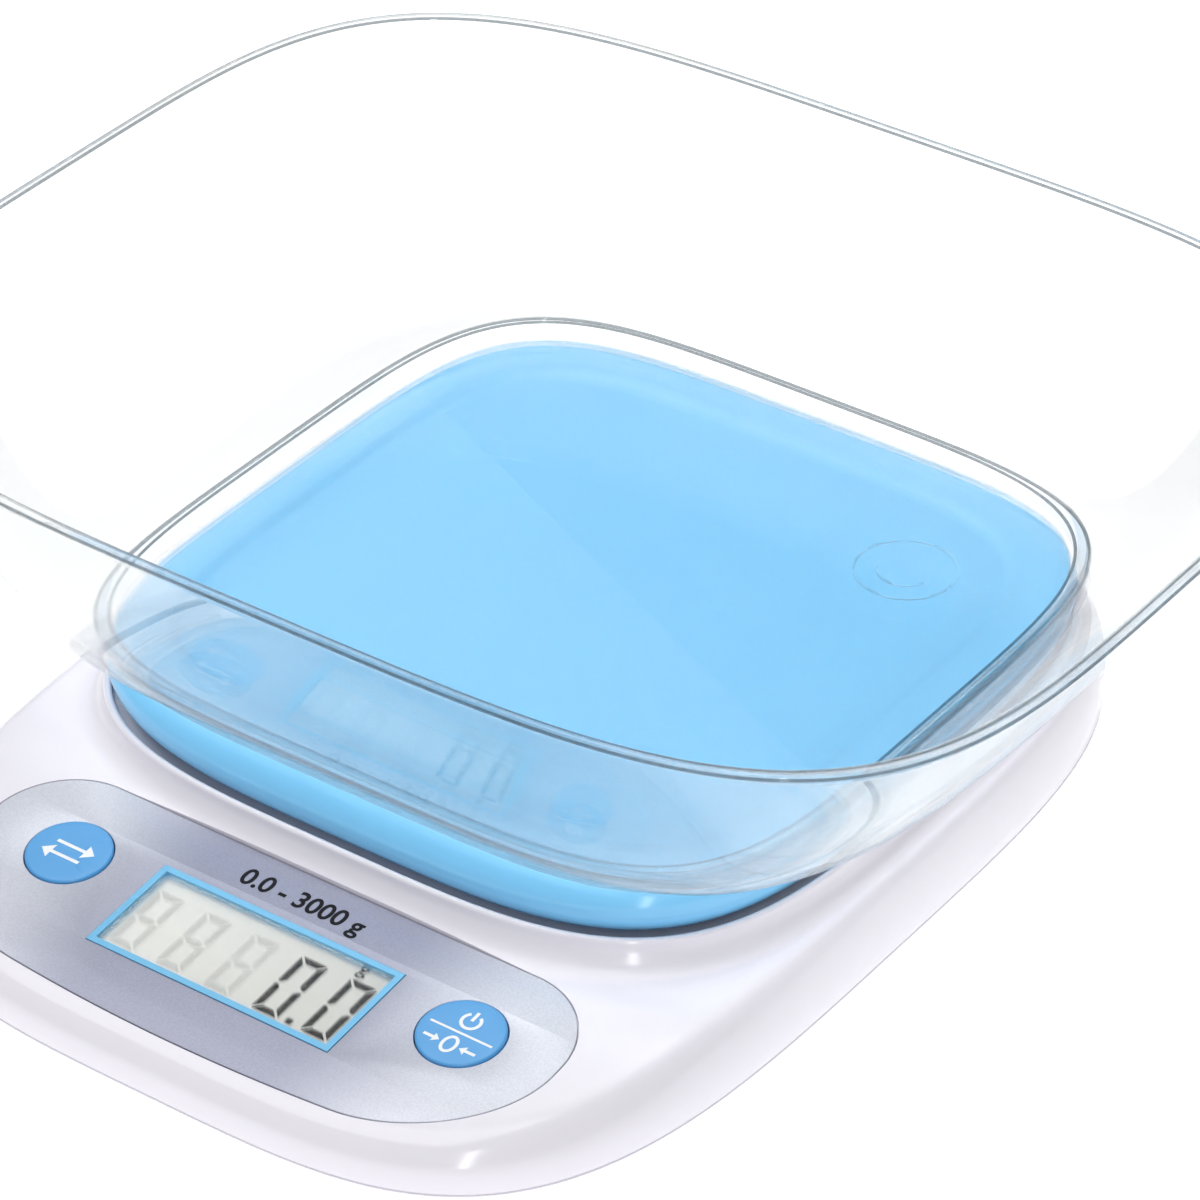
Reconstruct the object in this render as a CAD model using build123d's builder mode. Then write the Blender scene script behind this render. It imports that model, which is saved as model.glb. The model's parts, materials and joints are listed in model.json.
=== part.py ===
from build123d import *
import math
import os

# Digital gram scale with a lift-off bowl. Millimetres. The origin is on the table under the
# middle of the whole object: +Z up, -Y towards the user, +X to the user's right.

# ---- driving dimensions -------------------------------------------------------------------
# Plan places. The platform, the bowl and the load cell share one centre.
PLATFORM_Y = 14.25
HOUSING_Y = -5.5
HOUSING_HALF = (72.6, 96.75)
HOUSING_POWER = 3.7

# Heights
FOOT_HEIGHT = 2.2
PARTING_Z = 11.5
RECESS_FLOOR_Z = 26.0
LIP_Z = 29.0
PLATFORM_TOP_Z = 36.9
BOWL_SHOULDER_Z = 40.4
RIM_Z = 83.4

# Housing
WALL = 2.2
UNDER_RISE = 2.6
TUCK = 15.5
TUCK_SOFT = 0.15
BASE_DROPS = (1.0, 0.7, 0.38, 0.18, 0.09, 0.0)
TOP_EDGE_ROUND = 4.5
FRONT_TOP_Z = 18.75
LEVEL_TOP_Z = 24.0
LIP_HALF = (66.9, 69.9)
LIP_POWER = 3.75
LIP_WIDTH = 1.2
CARRIER_HOLE = 37.0
CARRIER_HOLE_ROUND = 5.0
CEILING = 2.0
LEAN = 1.02
OVERRUN = 5.0
LIP_BASE = 6.0
SPAN = 260.0

# Platform
PLATFORM_SECTIONS = ((28.5, 64.0, 67.0, 3.75), (30.5, 65.2, 68.0, 3.85), (33.5, 65.2, 67.3, 4.1),
                     (35.7, 64.4, 65.4, 4.5), (PLATFORM_TOP_Z, 63.0, 63.3, 4.8))
FIELD_HALF = (56.3, 57.6)
FIELD_DEPTH = 0.8
FIELD_POWER = 4.7
PLATFORM_WALL = 2.2
PLATFORM_UNDER_Z = 33.9
HOLLOW_POWER = 4.2
PEG_PITCH = 80.0
PEG_R = 3.0

# Bowl
BOWL_WALL = 2.0
FOOT_HALF = (65.7, 66.2)
SHOULDER_HALF = (67.2, 67.1)
RIM_HALF = (108.0, 88.0)
FLARE = 0.52
BOWL_STEPS = (0.0, 0.02, 0.06, 0.14, 0.26, 0.42, 0.6, 0.8, 1.0, 1.02)
FOOT_POWER = 4.4
SHOULDER_POWER = 4.3
RIM_POWER = 3.95
HOLLOW_RISE = 1.0
HOLLOW_INSET = (1.6, 1.2)

# Control panel, on its own plane tilted towards the user
PANEL_TILT = 6.3
PANEL_ORIGIN = (0, PLATFORM_Y - 91.5, 21.5)
PANEL_THICK = 1.0
PANEL_GAP = 0.15
DISPLAY_GAP = 0.3
PANEL_HALF_WIDTH = 55.0
PANEL_BACK = 19.8
PANEL_FRONT = -20.4
PANEL_BACK_ROUND = 14.0
PANEL_FRONT_ROUND = 24.0
PANEL_FRONT_BOW = 4.5
KEY_PLACES = {"unit": -38.2, "tare": 38.2}
KEY_V = 3.8
KEY_RADIUS = 7.0
KEY_GAP = 0.3
KEY_PROUD = 0.4
KEY_TRAVEL = 0.3
DISPLAY = (46.8, 19.4)
BORDER = 1.1
GLASS_TOP = -1.3
GLASS_THICK = 1.8
SKIN_UNDER = -3.0
BOARD_TOP = -8.6
BOARD_THICK = 1.6
BOARD_SIZE = (88.0, 29.0)
BOARD_V = 1.0
POST_R = 2.6
PCB_SCREW_R = 1.0
PCB_SCREW_REACH = 4.0
BOARD_POSTS = ((-30.0, -10.6), (30.0, -10.6), (-28.8, 12.6), (28.8, 12.6))

# Load cell, along Y under the platform's centre
BEAM = (12.7, 75.0, 12.7)
BEAM_Z = 8.2
BEAM_HOLES = (22.5, 32.5)
BEAM_SLOT = (22.0, 3.0)
FLEXURE_BORE = 4.7
FLEXURE_AT = 6.5
GAUGE = (5.0, 6.5, 0.1)
COATING = (9.0, 24.0, 3.0)
COATING_THICK = 0.5
SPACER_LENGTH = 18.0
SCREW_R = 2.0
CLEAR = 0.1
SPACER = 1.5
CARRIER_Z = BEAM_Z + BEAM[2] + SPACER
SPIDER_Z = 29.3

# Fixings
BOSS_R = 3.5
HOUSING_SCREW_R = 1.45
HOUSING_PILOT = 6.0
HOUSING_SCREWS = ((-48.0, -50.5), (48.0, -50.5), (-53.4, 14.25), (53.4, 14.25), (-24.0, 68.0), (24.0, 68.0))
FEET = {"foot_front_left": (-42.0, -65.5), "foot_front_right": (42.0, -65.5),
        "foot_back_left": (-42.0, 54.5), "foot_back_right": (42.0, 54.5)}
FOOT_R = 6.0
FOOT_SINK = 0.8

# Battery bay: two AAA cells along Y, a door hinged at its back end
BAY_X = 36.0
BAY_HALF = 12.3
BAY_FRONT = -15.05
BAY_ROOF_Z = 15.3
DOOR_THICK = 1.6
PIVOT_Y = BAY_FRONT + 56.2
PIVOT_Z = 5.9
BARREL_R = PIVOT_Z - FOOT_HEIGHT
DOOR_GAP = 0.3
BAY_END = PIVOT_Y + BARREL_R + DOOR_GAP
RIB_Y = PIVOT_Y - 5.2
CELL_R = 5.2
CELL_LENGTH = 43.3
CELL_PITCH = 11.4
CELL_Z = 9.4
WIRE_R = 0.45


# ---- shared shapes ------------------------------------------------------------------------
class Superellipse(BaseSketchObject):
    """The filled outline |x / half_x|^power + |y / half_y|^power = 1, smooth all round."""

    _applies_to = [BuildSketch._tag]
    POINTS = 40

    def __init__(self, half_x, half_y, power, mode=Mode.ADD):
        points = []
        for step in range(self.POINTS):
            angle = 2 * math.pi * step / self.POINTS
            across = abs(math.cos(angle)) / half_x
            along = abs(math.sin(angle)) / half_y
            reach = (across ** power + along ** power) ** (-1 / power)
            points.append((reach * math.cos(angle), reach * math.sin(angle)))
        outline = Wire([Edge.make_spline(points, periodic=True)])
        super().__init__(Face(outline), mode=mode)


def bowl_half(rise):
    """Half sizes of the bowl's outside; rise is 0 at the shoulder and 1 at the rim."""
    flare = rise ** FLARE
    return [low + (high - low) * flare for low, high in zip(SHOULDER_HALF, RIM_HALF)]


def bowl_inner_half(rise):
    """Half sizes of the inside at the same height, one wall thickness in along the normal."""
    height = RIM_Z - BOWL_SHOULDER_Z
    halves = []
    for outer, low, high in zip(bowl_half(rise), SHOULDER_HALF, RIM_HALF):
        slope = (high - low) / height * FLARE * rise ** (FLARE - 1)
        halves.append(outer - BOWL_WALL * math.sqrt(1 + slope ** 2))
    return halves


def base_tuck(drop):
    """How far the lower housing leans in: a hyperbola from 0 at the parting line to TUCK at drop 1."""
    return TUCK * (math.hypot(drop, TUCK_SOFT) - TUCK_SOFT) / (math.hypot(1, TUCK_SOFT) - TUCK_SOFT)


def base_level(drop):
    """The height at that share of the way from the parting line to the lower housing's underside."""
    return PARTING_Z + (FOOT_HEIGHT - PARTING_Z) * drop


def lower_half(tuck):
    """Half sizes of the lower housing where it is tucked in that far."""
    return [half - tuck for half in HOUSING_HALF]


def panel_plane(height):
    """A plane parallel to the control panel's face, at a height above it along its normal."""
    lean = math.radians(PANEL_TILT)
    face = Plane(origin=PANEL_ORIGIN, x_dir=(1, 0, 0), z_dir=(0, -math.sin(lean), math.cos(lean)))
    return face.offset(height)


def finish(piece, name):
    """Name a finished piece and write it to its own file."""
    piece.label = name
    export_step(piece, "parts/" + name + ".step")


os.makedirs("parts", exist_ok=True)

# ---- bowl ---------------------------------------------------------------------------------
# A stepped foot stands on the platform's border; above it the wall flares out and up.
bowl_outside = [(PLATFORM_TOP_Z, FOOT_HALF, FOOT_POWER)]
bowl_inside = [(PLATFORM_TOP_Z + BOWL_WALL, [half - HOLLOW_INSET[0] for half in FOOT_HALF], FOOT_POWER),
               (BOWL_SHOULDER_Z + HOLLOW_RISE, [half - HOLLOW_INSET[1] for half in SHOULDER_HALF],
                SHOULDER_POWER)]
first_flare = BOWL_STEPS[2]
for rise in BOWL_STEPS:
    level = BOWL_SHOULDER_Z + (RIM_Z - BOWL_SHOULDER_Z) * rise
    power = SHOULDER_POWER + (RIM_POWER - SHOULDER_POWER) * rise
    if rise <= 1:
        bowl_outside.append((level, bowl_half(rise), power))
    if rise > first_flare:
        bowl_inside.append((level, bowl_inner_half(rise), power))

with BuildPart() as bowl:
    for sections, mode in ((bowl_outside, Mode.ADD), (bowl_inside, Mode.SUBTRACT)):
        for level, half, power in sections:
            with BuildSketch(Plane.XY.offset(level)):
                with Locations((0, PLATFORM_Y)):
                    Superellipse(*half, power)
        loft(ruled=True, mode=mode)
finish(bowl.part, "bowl")

# ---- platform -----------------------------------------------------------------------------
with BuildPart() as platform:
    for level, half_x, half_y, power in PLATFORM_SECTIONS:
        with BuildSketch(Plane.XY.offset(level)):
            with Locations((0, PLATFORM_Y)):
                Superellipse(half_x, half_y, power)
    loft()
    with BuildSketch(Plane.XY.offset(PLATFORM_TOP_Z)):
        with Locations((0, PLATFORM_Y)):
            Superellipse(*FIELD_HALF, FIELD_POWER)
    extrude(amount=-FIELD_DEPTH, mode=Mode.SUBTRACT)
    with BuildSketch(Plane.XY.offset(PLATFORM_SECTIONS[0][0])):
        with Locations((0, PLATFORM_Y)):
            Superellipse(*[half - PLATFORM_WALL for half in PLATFORM_SECTIONS[-1][1:3]], HOLLOW_POWER)
    extrude(amount=PLATFORM_UNDER_Z - PLATFORM_SECTIONS[0][0], mode=Mode.SUBTRACT)
    # four locating pegs that drop into the carrier
    with BuildSketch(Plane.XY.offset(PLATFORM_UNDER_Z)):
        with Locations((0, PLATFORM_Y)):
            with GridLocations(PEG_PITCH, PEG_PITCH, 2, 2):
                Circle(PEG_R)
    extrude(amount=-(PLATFORM_UNDER_Z - SPIDER_Z))
finish(platform.part, "platform")

# ---- platform carrier: a spider bolted to the load cell's free end --------------------------
HUB_Y = PLATFORM_Y + sum(BEAM_HOLES) / 2
HUB_SIDE = 30.0
HUB_ROUND = 4.0
SPIDER_SIDE = 96.0
SPIDER_ROUND = 14.0
SPIDER_WINDOW = (56.0, 40.0, 8.0)
WINDOW_FORWARD = 20.0
SCREW_FLOOR = 3.0
POCKET_R = 4.0
with BuildPart() as platform_carrier:
    with BuildSketch(Plane.XY.offset(CARRIER_Z)):
        with Locations((0, HUB_Y)):
            RectangleRounded(HUB_SIDE, HUB_SIDE, HUB_ROUND)
    extrude(amount=SPIDER_Z - CARRIER_Z)
    with BuildSketch(Plane.XY.offset(SPIDER_Z)):
        with Locations((0, PLATFORM_Y)):
            RectangleRounded(SPIDER_SIDE, SPIDER_SIDE, SPIDER_ROUND)
        with Locations((0, PLATFORM_Y - WINDOW_FORWARD)):
            RectangleRounded(*SPIDER_WINDOW, mode=Mode.SUBTRACT)
    extrude(amount=PLATFORM_UNDER_Z - SPIDER_Z)
    with BuildSketch(Plane.XY.offset(PLATFORM_UNDER_Z)):
        with Locations((0, PLATFORM_Y)):
            with GridLocations(PEG_PITCH, PEG_PITCH, 2, 2):
                Circle(PEG_R + CLEAR / 2)
    extrude(amount=SPIDER_Z - PLATFORM_UNDER_Z, mode=Mode.SUBTRACT)
    # screw pockets open upwards
    with Locations(*[(0, PLATFORM_Y + reach, PLATFORM_UNDER_Z) for reach in BEAM_HOLES]):
        CounterBoreHole(SCREW_R + CLEAR / 2, POCKET_R, PLATFORM_UNDER_Z - CARRIER_Z - SCREW_FLOOR)
finish(platform_carrier.part, "platform_carrier")

# ---- load cell and its spacers --------------------------------------------------------------
with BuildPart() as load_cell:
    with BuildSketch(Plane.XY.offset(BEAM_Z)):
        with Locations((0, PLATFORM_Y)):
            Rectangle(BEAM[0], BEAM[1])
            with Locations(*[(0, side * reach) for side in (-1, 1) for reach in BEAM_HOLES]):
                Circle(SCREW_R + CLEAR / 2, mode=Mode.SUBTRACT)
    extrude(amount=BEAM[2])
    # two bores across the beam, joined by a slot, leave four thin flexures
    with BuildSketch(Plane.YZ.offset(-BEAM[0])):
        with Locations((PLATFORM_Y, BEAM_Z + BEAM[2] / 2)):
            SlotOverall(*BEAM_SLOT)
            with Locations((-FLEXURE_AT, 0), (FLEXURE_AT, 0)):
                Circle(FLEXURE_BORE)
    extrude(amount=2 * BEAM[0], mode=Mode.SUBTRACT)
finish(load_cell.part, "load_cell")

with BuildPart() as strain_gauges:
    for level in (BEAM_Z - GAUGE[2], BEAM_Z + BEAM[2]):
        with BuildSketch(Plane.XY.offset(level)):
            with Locations((0, PLATFORM_Y - FLEXURE_AT), (0, PLATFORM_Y + FLEXURE_AT)):
                Rectangle(GAUGE[0], GAUGE[1])
        extrude(amount=GAUGE[2])
finish(strain_gauges.part, "strain_gauges")

with BuildPart() as gauge_coating:
    for level, up in ((BEAM_Z - GAUGE[2], -1), (BEAM_Z + BEAM[2] + GAUGE[2], 1)):
        with BuildSketch(Plane.XY.offset(level)):
            with Locations((0, PLATFORM_Y)):
                RectangleRounded(*COATING)
        extrude(amount=up * COATING_THICK)
finish(gauge_coating.part, "gauge_coating")


def spacer_plate(end_y, level, thick):
    """A steel plate between the beam's end and what it is bolted to."""
    with BuildPart() as plate:
        with BuildSketch(Plane.XY.offset(level)):
            with Locations((0, end_y)):
                RectangleRounded(BEAM[0], SPACER_LENGTH, 1.0)
                with Locations(*[(0, side * (BEAM_HOLES[1] - BEAM_HOLES[0]) / 2) for side in (-1, 1)]):
                    Circle(SCREW_R + CLEAR / 2, mode=Mode.SUBTRACT)
        extrude(amount=thick)
    return plate.part


BASE_Y = PLATFORM_Y - sum(BEAM_HOLES) / 2
BASE_SPACER = 1.0
finish(spacer_plate(HUB_Y, CARRIER_Z - SPACER, SPACER), "top_spacer")
finish(spacer_plate(BASE_Y, BEAM_Z - BASE_SPACER, BASE_SPACER), "base_spacer")


CROSS_LONG = 1.1
CROSS_WIDE = 0.28
CROSS_DEPTH = 0.55


def machine_screws(places, head_z, head_up, shank_r, shank, head_r, head):
    """Cross-head screws: each head starts at head_z and its shank runs the other way."""
    way = 1 if head_up else -1
    with BuildPart() as screws:
        with BuildSketch(Plane.XY.offset(head_z)):
            with Locations(*places):
                Circle(head_r)
        extrude(amount=way * head)
        with BuildSketch(Plane.XY.offset(head_z)):
            with Locations(*places):
                Circle(shank_r)
        extrude(amount=-way * shank)
        with BuildSketch(Plane.XY.offset(head_z + way * head)):
            with Locations(*places):
                Rectangle(head_r * CROSS_LONG, head_r * CROSS_WIDE)
                Rectangle(head_r * CROSS_WIDE, head_r * CROSS_LONG)
        extrude(amount=-way * head * CROSS_DEPTH, mode=Mode.SUBTRACT)
    return screws.part


BEAM_SCREW_HEAD = (3.6, 2.4)
HOUSING_SCREW_HEAD = (2.8, 2.0)
WELL_GAP = 0.3
carrier_places = [(0, PLATFORM_Y + reach) for reach in BEAM_HOLES]
base_places = [(0, PLATFORM_Y - reach) for reach in BEAM_HOLES]
carrier_seat = CARRIER_Z + SCREW_FLOOR
carrier_screws = machine_screws(carrier_places, carrier_seat, True, SCREW_R, 14.0, *BEAM_SCREW_HEAD)
finish(carrier_screws, "carrier_screws")

# ---- upper housing ----------------------------------------------------------------------------
# Side profile of the cover's top: a slope under the control panel, then level to the back.
HOUSING_FRONT = HOUSING_Y - HOUSING_HALF[1]
SLOPE = math.tan(math.radians(PANEL_TILT))


def top_block(inset, bottom):
    """The cover's crowned block, set in by a wall thickness where it is the hollow."""
    low_front = FRONT_TOP_Z - inset * LEAN - OVERRUN * SLOPE
    knee_y = HOUSING_FRONT + (LEVEL_TOP_Z - FRONT_TOP_Z) / SLOPE
    level_top = LEVEL_TOP_Z - inset * LEAN
    start_y = HOUSING_FRONT - OVERRUN
    with BuildPart() as block:
        with BuildSketch(Plane.XY.offset(bottom)):
            with Locations((0, HOUSING_Y)):
                Superellipse(HOUSING_HALF[0] - inset, HOUSING_HALF[1] - inset, HOUSING_POWER)
        extrude(amount=LIP_Z - bottom)
        with BuildSketch(Plane.YZ.offset(-SPAN / 2)):
            with BuildLine():
                Polyline((start_y, bottom), (start_y, low_front), (knee_y, level_top),
                         (SPAN / 2, level_top), (SPAN / 2, bottom), close=True)
            make_face()
        extrude(amount=SPAN, mode=Mode.INTERSECT)
    return block


with BuildPart() as cavity:
    add(top_block(WALL, PARTING_Z - 1).part)
    with BuildSketch(Plane.XY.offset(PARTING_Z)):
        with Locations((0, PLATFORM_Y)):
            Superellipse(LIP_HALF[0] - WALL, LIP_HALF[1] - WALL, LIP_POWER)
    extrude(amount=RECESS_FLOOR_Z - CEILING - PARTING_Z)
    # posts left standing for the housing screws and the circuit board
    with BuildSketch(Plane.XY.offset(PARTING_Z - 1)):
        with Locations(*HOUSING_SCREWS):
            Circle(BOSS_R)
    extrude(amount=LIP_Z - PARTING_Z, mode=Mode.SUBTRACT)
    with BuildSketch(panel_plane(BOARD_TOP)):
        with Locations(*BOARD_POSTS):
            Circle(POST_R)
    extrude(amount=-BOARD_TOP, mode=Mode.SUBTRACT)

with BuildPart() as housing_body:
    add(top_block(0, PARTING_Z).part)
    # the outer top edges are rounded; the straight knee across the top stays as it is
    high_edges = [e for e in housing_body.edges() if e.center().Z > FRONT_TOP_Z - OVERRUN]
    fillet([e for e in high_edges if e.geom_type != GeomType.LINE], TOP_EDGE_ROUND)
    with BuildSketch(Plane.XY.offset(PARTING_Z + LIP_BASE)):
        with Locations((0, PLATFORM_Y)):
            Superellipse(*LIP_HALF, LIP_POWER)
    extrude(amount=LIP_Z - PARTING_Z - LIP_BASE)
    with BuildSketch(Plane.XY.offset(RECESS_FLOOR_Z)):
        with Locations((0, PLATFORM_Y)):
            Superellipse(LIP_HALF[0] - LIP_WIDTH, LIP_HALF[1] - LIP_WIDTH, LIP_POWER)
    extrude(amount=LIP_Z - RECESS_FLOOR_Z, mode=Mode.SUBTRACT)
    add(cavity.part, mode=Mode.SUBTRACT)
    # the carrier's hub passes through the recess floor
    with BuildSketch(Plane.XY.offset(PARTING_Z)):
        with Locations((0, HUB_Y)):
            RectangleRounded(CARRIER_HOLE, CARRIER_HOLE, CARRIER_HOLE_ROUND)
    extrude(amount=LIP_Z, mode=Mode.SUBTRACT)
    # pilot holes
    with BuildSketch(Plane.XY.offset(PARTING_Z)):
        with Locations(*HOUSING_SCREWS):
            Circle(HOUSING_SCREW_R + CLEAR / 2)
    extrude(amount=HOUSING_PILOT, mode=Mode.SUBTRACT)
    with BuildSketch(panel_plane(BOARD_TOP)):
        with Locations(*BOARD_POSTS):
            Circle(PCB_SCREW_R + CLEAR / 2)
    extrude(amount=PCB_SCREW_REACH + 0.5, mode=Mode.SUBTRACT)


class PanelOutline(BaseSketchObject):
    """The overlay's shape: a nearly straight back edge, a front edge bowed like the housing's."""

    _applies_to = [BuildSketch._tag]

    def __init__(self, grow=0.0, mode=Mode.ADD):
        side = PANEL_HALF_WIDTH + grow
        back = PANEL_BACK + grow
        front = PANEL_FRONT - grow
        corner_v = front + PANEL_FRONT_BOW
        bow = Edge.make_three_point_arc((-side, corner_v), (0, front), (side, corner_v))
        rest = Wire.make_polygon([(side, corner_v), (side - 1, back), (1 - side, back), (-side, corner_v)],
                                 close=False)
        face = Face(Wire([bow] + list(rest.edges())))
        back_corners = [v for v in face.vertices() if v.Y > 0]
        face = face.fillet_2d(PANEL_BACK_ROUND, back_corners)
        front_corners = [v for v in face.vertices() if v.Y < corner_v + 0.5]
        face = face.fillet_2d(PANEL_FRONT_ROUND, front_corners)
        super().__init__(face, mode=mode)


with BuildPart() as panel_cuts:
    with BuildSketch(panel_plane(-PANEL_THICK)):
        PanelOutline(grow=PANEL_GAP)
    extrude(amount=LIP_BASE)
    with BuildSketch(panel_plane(BOARD_TOP)):
        Rectangle(DISPLAY[0] + 2 * DISPLAY_GAP, DISPLAY[1] + 2 * DISPLAY_GAP)
        with Locations(*[(x, KEY_V) for x in KEY_PLACES.values()]):
            Circle(KEY_RADIUS + KEY_GAP)
    extrude(amount=-BOARD_TOP)

with BuildPart() as upper_housing:
    add(housing_body.part)
    add(panel_cuts.part, mode=Mode.SUBTRACT)
finish(upper_housing.part, "upper_housing")

# ---- control panel and display ----------------------------------------------------------------
with BuildPart() as control_panel:
    with BuildSketch(panel_plane(-PANEL_THICK)):
        PanelOutline()
        Rectangle(DISPLAY[0] + 0.2, DISPLAY[1] + 0.2, mode=Mode.SUBTRACT)
        with Locations(*[(x, KEY_V) for x in KEY_PLACES.values()]):
            Circle(KEY_RADIUS + KEY_GAP, mode=Mode.SUBTRACT)
    extrude(amount=PANEL_THICK)
finish(control_panel.part, "control_panel")

with BuildPart() as display_bezel:
    with BuildSketch(panel_plane(GLASS_TOP)):
        Rectangle(*DISPLAY)
        Rectangle(DISPLAY[0] - 2 * BORDER, DISPLAY[1] - 2 * BORDER, mode=Mode.SUBTRACT)
    extrude(amount=0.1 - GLASS_TOP)
finish(display_bezel.part, "display_bezel")

with BuildPart() as display_window:
    with BuildSketch(panel_plane(GLASS_TOP + 0.2)):
        Rectangle(DISPLAY[0] - 2 * BORDER - 0.1, DISPLAY[1] - 2 * BORDER - 0.1)
    extrude(amount=0.8)
finish(display_window.part, "display_window")

with BuildPart() as lcd_glass:
    with BuildSketch(panel_plane(GLASS_TOP - GLASS_THICK)):
        Rectangle(*DISPLAY)
    extrude(amount=GLASS_THICK)
finish(lcd_glass.part, "lcd_glass")

LCD_UNDER = GLASS_TOP - GLASS_THICK
with BuildPart() as lcd_reflector:
    with BuildSketch(panel_plane(LCD_UNDER - 0.2)):
        Rectangle(DISPLAY[0] - 1, DISPLAY[1] - 6)
    extrude(amount=0.2)
finish(lcd_reflector.part, "lcd_reflector")

with BuildPart() as zebra_strips:
    with BuildSketch(panel_plane(BOARD_TOP)):
        with GridLocations(1, DISPLAY[1] - 2.6, 1, 2):
            Rectangle(DISPLAY[0] - 2, 2.2)
    extrude(amount=LCD_UNDER - BOARD_TOP)
finish(zebra_strips.part, "zebra_strips")

with BuildPart() as lcd_holder:
    with BuildSketch(panel_plane(BOARD_TOP)):
        RectangleRounded(51, 24, 1.5)
        Rectangle(DISPLAY[0] + 0.4, DISPLAY[1] + 0.4, mode=Mode.SUBTRACT)
    extrude(amount=SKIN_UNDER - 0.2 - BOARD_TOP)
finish(lcd_holder.part, "lcd_holder")

# ---- keys and their switches --------------------------------------------------------------------
SWITCH_TOP = BOARD_TOP + 3.3
STEM_END = SWITCH_TOP + 0.8
PLUNGER_R = 1.7
for side, key_x in KEY_PLACES.items():
    with BuildPart() as key:
        with BuildSketch(panel_plane(SKIN_UNDER - 0.1)):
            with Locations((key_x, KEY_V)):
                Circle(KEY_RADIUS)
        extrude(amount=KEY_PROUD - SKIN_UNDER + 0.1)
        fillet(key.faces().sort_by(Axis.Z)[-1].edges(), 0.3)
        with BuildSketch(panel_plane(SKIN_UNDER - 0.1)):
            with Locations((key_x, KEY_V)):
                Circle(KEY_RADIUS + 1.2)
        extrude(amount=-0.9)
        with BuildSketch(panel_plane(STEM_END)):
            with Locations((key_x, KEY_V)):
                Circle(2.2)
        extrude(amount=SKIN_UNDER - 0.5 - STEM_END)
    finish(key.part, side + "_key")

    with BuildPart() as plunger:
        with BuildSketch(panel_plane(SWITCH_TOP - 1.2)):
            with Locations((key_x, KEY_V)):
                Circle(PLUNGER_R)
        extrude(amount=STEM_END - SWITCH_TOP + 1.2)
    finish(plunger.part, side + "_plunger")

    with BuildPart() as switch:
        with BuildSketch(panel_plane(BOARD_TOP)):
            with Locations((key_x, KEY_V)):
                RectangleRounded(6.0, 6.0, 0.5)
        extrude(amount=SWITCH_TOP - BOARD_TOP)
        with BuildSketch(panel_plane(SWITCH_TOP)):
            with Locations((key_x, KEY_V)):
                Circle(PLUNGER_R + CLEAR / 2)
        extrude(amount=-1.2 - KEY_TRAVEL - 0.2, mode=Mode.SUBTRACT)
    finish(switch.part, side + "_switch")

# ---- circuit board ------------------------------------------------------------------------------
with BuildPart() as main_pcb:
    with BuildSketch(panel_plane(BOARD_TOP)):
        with Locations((0, BOARD_V)):
            RectangleRounded(*BOARD_SIZE, 6.0)
        with Locations(*BOARD_POSTS):
            Circle(PCB_SCREW_R + CLEAR, mode=Mode.SUBTRACT)
    extrude(amount=-BOARD_THICK)
finish(main_pcb.part, "main_pcb")

BOARD_UNDER = BOARD_TOP - BOARD_THICK
with BuildPart() as controller_chip:
    with BuildSketch(panel_plane(BOARD_UNDER)):
        with Locations((0, -1)):
            Circle(6.0)
    extrude(amount=-1.3, taper=25)
finish(controller_chip.part, "controller_chip")

with BuildPart() as crystal:
    with BuildSketch(panel_plane(BOARD_UNDER)):
        with Locations((13, -2)):
            SlotOverall(8.0, 2.4)
    extrude(amount=-1.8)
finish(crystal.part, "crystal")

with BuildPart() as capacitors:
    with BuildSketch(panel_plane(BOARD_UNDER)):
        with Locations((-14, 0)):
            with GridLocations(4, 4, 3, 3):
                Rectangle(1.6, 0.9)
    extrude(amount=-0.8)
finish(capacitors.part, "capacitors")

with BuildPart() as pcb_screws:
    with BuildSketch(panel_plane(BOARD_UNDER)):
        with Locations(*BOARD_POSTS):
            Circle(2 * PCB_SCREW_R)
    extrude(amount=-1.3 * PCB_SCREW_R)
    with BuildSketch(panel_plane(BOARD_UNDER)):
        with Locations(*BOARD_POSTS):
            Circle(PCB_SCREW_R)
    extrude(amount=BOARD_THICK + PCB_SCREW_REACH)
finish(pcb_screws.part, "pcb_screws")

# ---- lower housing --------------------------------------------------------------------------------
FLOOR_TOP = FOOT_HEIGHT + UNDER_RISE
PAD_TOP = BEAM_Z - BASE_SPACER
STOP_Y = PLATFORM_Y + BEAM_HOLES[1] + 2
STOP_GAP = 0.8
STOP_HEAD = 1.6
STOP_SHANK = 3.4
STOP_R = 1.5
STOP_SEAT = BEAM_Z - STOP_GAP - STOP_HEAD
SCREW_SINK = 3.2
BAY_WALL = 1.5

with BuildPart() as tray_cavity:
    for drop in BASE_DROPS:
        with BuildSketch(Plane.XY.offset(base_level(drop) + UNDER_RISE)):
            with Locations((0, HOUSING_Y)):
                Superellipse(*lower_half(max(base_tuck(drop), WALL)), HOUSING_POWER)
    loft(ruled=True)
    # left standing: screw posts, the load cell's pad and the overload stop's post
    with BuildSketch(Plane.XY.offset(FLOOR_TOP)):
        with Locations(*HOUSING_SCREWS):
            Circle(BOSS_R + 1.0)
    extrude(amount=PARTING_Z - FLOOR_TOP, mode=Mode.SUBTRACT)
    with BuildSketch(Plane.XY.offset(FLOOR_TOP)):
        with Locations((0, BASE_Y)):
            RectangleRounded(20, 24, 3)
    extrude(amount=PAD_TOP - FLOOR_TOP, mode=Mode.SUBTRACT)
    with BuildSketch(Plane.XY.offset(FLOOR_TOP)):
        with Locations((0, STOP_Y)):
            Circle(5.0)
    extrude(amount=STOP_SEAT - FLOOR_TOP, mode=Mode.SUBTRACT)

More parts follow.
